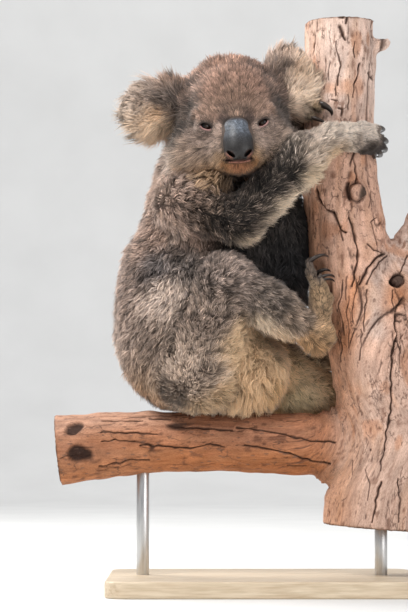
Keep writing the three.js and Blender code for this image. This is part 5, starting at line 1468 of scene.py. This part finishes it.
for ext, e in EXTREMITIES.items():
    for cname, path, r in e["claws"]:
        p = np.array(path, float)
        p[0] -= 5.0 * (p[1] - p[0]) / np.linalg.norm(p[1] - p[0])
        rings_n, sides = 18, 14
        t = np.linspace(0, 1, rings_n)
        c = bend(p, t)
        tg = unit(np.gradient(c, axis=0))
        inn = unit(((p[0] + p[2]) / 2 - p[1])[None])[0]
        out = unit(-(inn - (tg @ inn)[:, None] * tg))
        sd = unit(np.cross(tg, out))
        rr = r * (0.92 * (1 - t) ** 0.62 + 0.02) * (1 - 0.25 * (t < 0.08))
        ang = np.arange(sides) * 2 * math.pi / sides
        V = c[:, None] + (sd[:, None] * np.cos(ang)[None, :, None] * 0.72 + out[:, None] * np.sin(ang)[None, :, None] * 1.05) * rr[:, None, None]
        V = np.concatenate([V.reshape(-1, 3), c[:1], c[-1:] + 0.3 * tg[-1:]])
        F = []
        for i in range(rings_n - 1):
            for j in range(sides):
                a, d_ = i * sides + j, i * sides + (j + 1) % sides
                F += [[a, d_, d_ + sides], [a, d_ + sides, a + sides]]
        b0, t0, last = len(V) - 2, len(V) - 1, (rings_n - 1) * sides
        for j in range(sides):
            F += [[b0, (j + 1) % sides, j], [t0, last + j, last + (j + 1) % sides]]
        F = np.array(F)
        a = V - V.mean(0)
        if (a[F[:, 0]] * np.cross(a[F[:, 1]], a[F[:, 2]])).sum() < 0:
            F = F[:, ::-1]
        tt = np.concatenate([np.repeat(t, sides), [0, 1]])
        highlight_side = np.concatenate([np.tile(np.sin(ang), rings_n), [0, 0]])
        cc = C(44, 36, 32) * (1 - tt[:, None]) + tt[:, None] * C(24, 21, 20)
        # painted highlight: a paler stripe along the claw's outer curve, fading towards the tip
        hi = (smooth_step(0.3, 0.95, highlight_side) * smooth_step(1.0, 0.4, tt))[:, None]
        cc = cc * (1 - 0.35 * hi) + 0.35 * hi * C(104, 92, 84)
        ob = make(cname + "_horn", V, F, srgb(*cc.T).T)
        ob.data.materials.append(mat_claw)
        place(ob, "claw", cname)
say("nose, eyes and claws")

# ---- the stand ------------------------------------------------------------------------
mat, nt, b = material("board", 0.45, Specular_IOR_Level=0.4)
w1 = object_noise(nt, 60.0, 5.0, stretch=(0.35, 4.0, 4.0))
w2 = object_noise(nt, 420.0, 4.0, stretch=(0.08, 1.0, 1.0))
c1 = ramp(nt, w1.outputs[0], (0.3, tuple(srgb(196, 176, 150))), (0.7, tuple(srgb(216, 200, 176))))
c2 = ramp(nt, w2.outputs[0], (0.35, (0.86, 0.84, 0.80)), (0.6, (1.03, 1.03, 1.03)))
nt.links.new(mix_rgb(nt, c1, c2, 1.0, "MULTIPLY"), b.inputs["Base Color"])
bump(nt, b, w2.outputs[0], 0.0003, 0.3)


def rounded_board(name, lo, hi, corner, bevel):
    ring = []
    for qd in range(4):
        for k in range(13):
            a = math.radians(90 * qd + 90 * k / 12)
            ring.append((math.cos(a), math.sin(a), (1 if qd in (0, 3) else -1), (1 if qd < 2 else -1)))
    hx, hy = (hi[0] - lo[0]) / 2, (hi[1] - lo[1]) / 2
    cx, cy = (hi[0] + lo[0]) / 2, (hi[1] + lo[1]) / 2
    turn = [math.radians(22.5 * k) for k in range(5)]
    layers = [(lo[2] + bevel * (1 - math.cos(a)), bevel * (1 - math.sin(a))) for a in turn]
    layers += [(hi[2] - bevel * (1 - math.sin(a)), bevel * (1 - math.cos(a))) for a in turn]
    V = []
    for z, inset in layers:
        for c_, s_, sx, sy in ring:
            V.append((cx + sx * (hx - corner) + c_ * (corner - inset), cy + sy * (hy - corner) + s_ * (corner - inset), z))
    n, m = len(ring), len(layers)
    V += [(cx, cy, lo[2]), (cx, cy, hi[2])]
    F = []
    for i in range(m - 1):
        for j in range(n):
            a, c_ = i * n + j, i * n + (j + 1) % n
            F += [[a, c_, c_ + n], [a, c_ + n, a + n]]
    for j in range(n):
        F += [[m * n, (j + 1) % n, j], [m * n + 1, (m - 1) * n + j, (m - 1) * n + (j + 1) % n]]
    return make(name, V, F, smooth=False)


lo, hi = (np.array(x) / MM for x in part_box("stand_base"))
board = rounded_board("stand_board", lo, hi, 22.0, 2.0)
board.data.materials.append(mat)
place(board, "base_board", "stand_base")
mat, nt, b = material("rod_steel", 0.32, 1.0)
rn = object_noise(nt, 900.0, 3.0, stretch=(1.0, 1.0, 0.05))
nt.links.new(ramp(nt, rn.outputs[0], (0.3, (0.50, 0.50, 0.50)), (0.7, (0.62, 0.62, 0.61))), b.inputs["Base Color"])
nt.links.new(ramp(nt, rn.outputs[0], (0.3, (0.28,) * 3), (0.7, (0.42,) * 3)), b.inputs["Roughness"])
for nm in ("stand_rod_trunk", "stand_rod_branch"):
    lo, hi = (np.array(x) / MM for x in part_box(nm))
    n, levels = 40, [lo[2], lo[2] + 1, hi[2] - 1, hi[2]]
    rr = (hi[0] - lo[0]) / 2
    cx, cy = (hi[0] + lo[0]) / 2, (hi[1] + lo[1]) / 2
    V = [(cx + (rr - (0.6 if k in (0, 3) else 0)) * math.cos(2 * math.pi * j / n), cy + (rr - (0.6 if k in (0, 3) else 0)) * math.sin(2 * math.pi * j / n), z) for k, z in enumerate(levels) for j in range(n)]
    V += [(cx, cy, lo[2]), (cx, cy, hi[2])]
    F = [f for i in range(3) for j in range(n) for f in ([i * n + j, i * n + (j + 1) % n, (i + 1) * n + (j + 1) % n], [i * n + j, (i + 1) * n + (j + 1) % n, (i + 1) * n + j])]
    F += [f for j in range(n) for f in ([4 * n, (j + 1) % n, j], [4 * n + 1, 3 * n + j, 3 * n + (j + 1) % n])]
    ob = make(nm.replace("stand_", "stand_steel_"), V, F)
    ob.data.materials.append(mat)
    place(ob, "rod_steel", nm)

# ---- floor, light ---------------------------------------------------------------------
prof = [(-4.5, 0.0), (3.0, 0.0)] + [(3.0 + 1.2 * math.sin(math.radians(a)), 1.2 * (1 - math.cos(math.radians(a)))) for a in range(6, 91, 6)] + [(4.2, 6.0)]
V = [(x, y, z) for y, z in prof for x in (-6.0, 6.0)]
F = [[2 * i, 2 * i + 1, 2 * i + 3, 2 * i + 2] for i in range(len(prof) - 1)]
floor = make("floor", np.array(V) * 1000 + [0, 0, -0.05], F)
mat, nt, b = material("paper", 0.9, Specular_IOR_Level=0.15)
pn = object_noise(nt, 6.0, 3.0)
nt.links.new(ramp(nt, pn.outputs[0], (0.3, (0.70, 0.70, 0.69)), (0.7, (0.74, 0.74, 0.73))), b.inputs["Base Color"])
floor.data.materials.append(mat)


def area_light(name, at, to, size, power, colour=(1, 1, 1)):
    d = bpy.data.lights.new(name, "AREA")
    d.shape, d.size, d.energy, d.color = "DISK", size, power, colour
    o = bpy.data.objects.new(name, d)
    bpy.context.collection.objects.link(o)
    o.location = at
    o.rotation_euler = (Vector(to) - Vector(at)).to_track_quat("-Z", "Y").to_euler()
    return o


area_light("key", (-1.1, -1.2, 2.1), (-0.05, 0, 0.38), 1.1, 46, (1.0, 0.985, 0.955))
area_light("fill", (1.6, -1.6, 0.55), (0, 0, 0.32), 1.6, 19, (1.0, 0.985, 0.97))
area_light("backdrop", (0.0, 1.9, 3.4), (0.0, 4.2, 0.8), 2.4, 45, (1.0, 1.0, 1.0))
area_light("rim", (-1.4, 0.9, 1.5), (-0.1, 0, 0.4), 1.0, 40, (1.0, 0.99, 0.97))
world = bpy.data.worlds.new("world")
world.use_nodes = True
world.node_tree.nodes["Background"].inputs[0].default_value = (0.95, 0.96, 1.0, 1)
world.node_tree.nodes["Background"].inputs[1].default_value = 0.53
bpy.context.scene.world = world
bpy.context.scene.view_settings.view_transform = "Standard"

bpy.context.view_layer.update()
say("done")
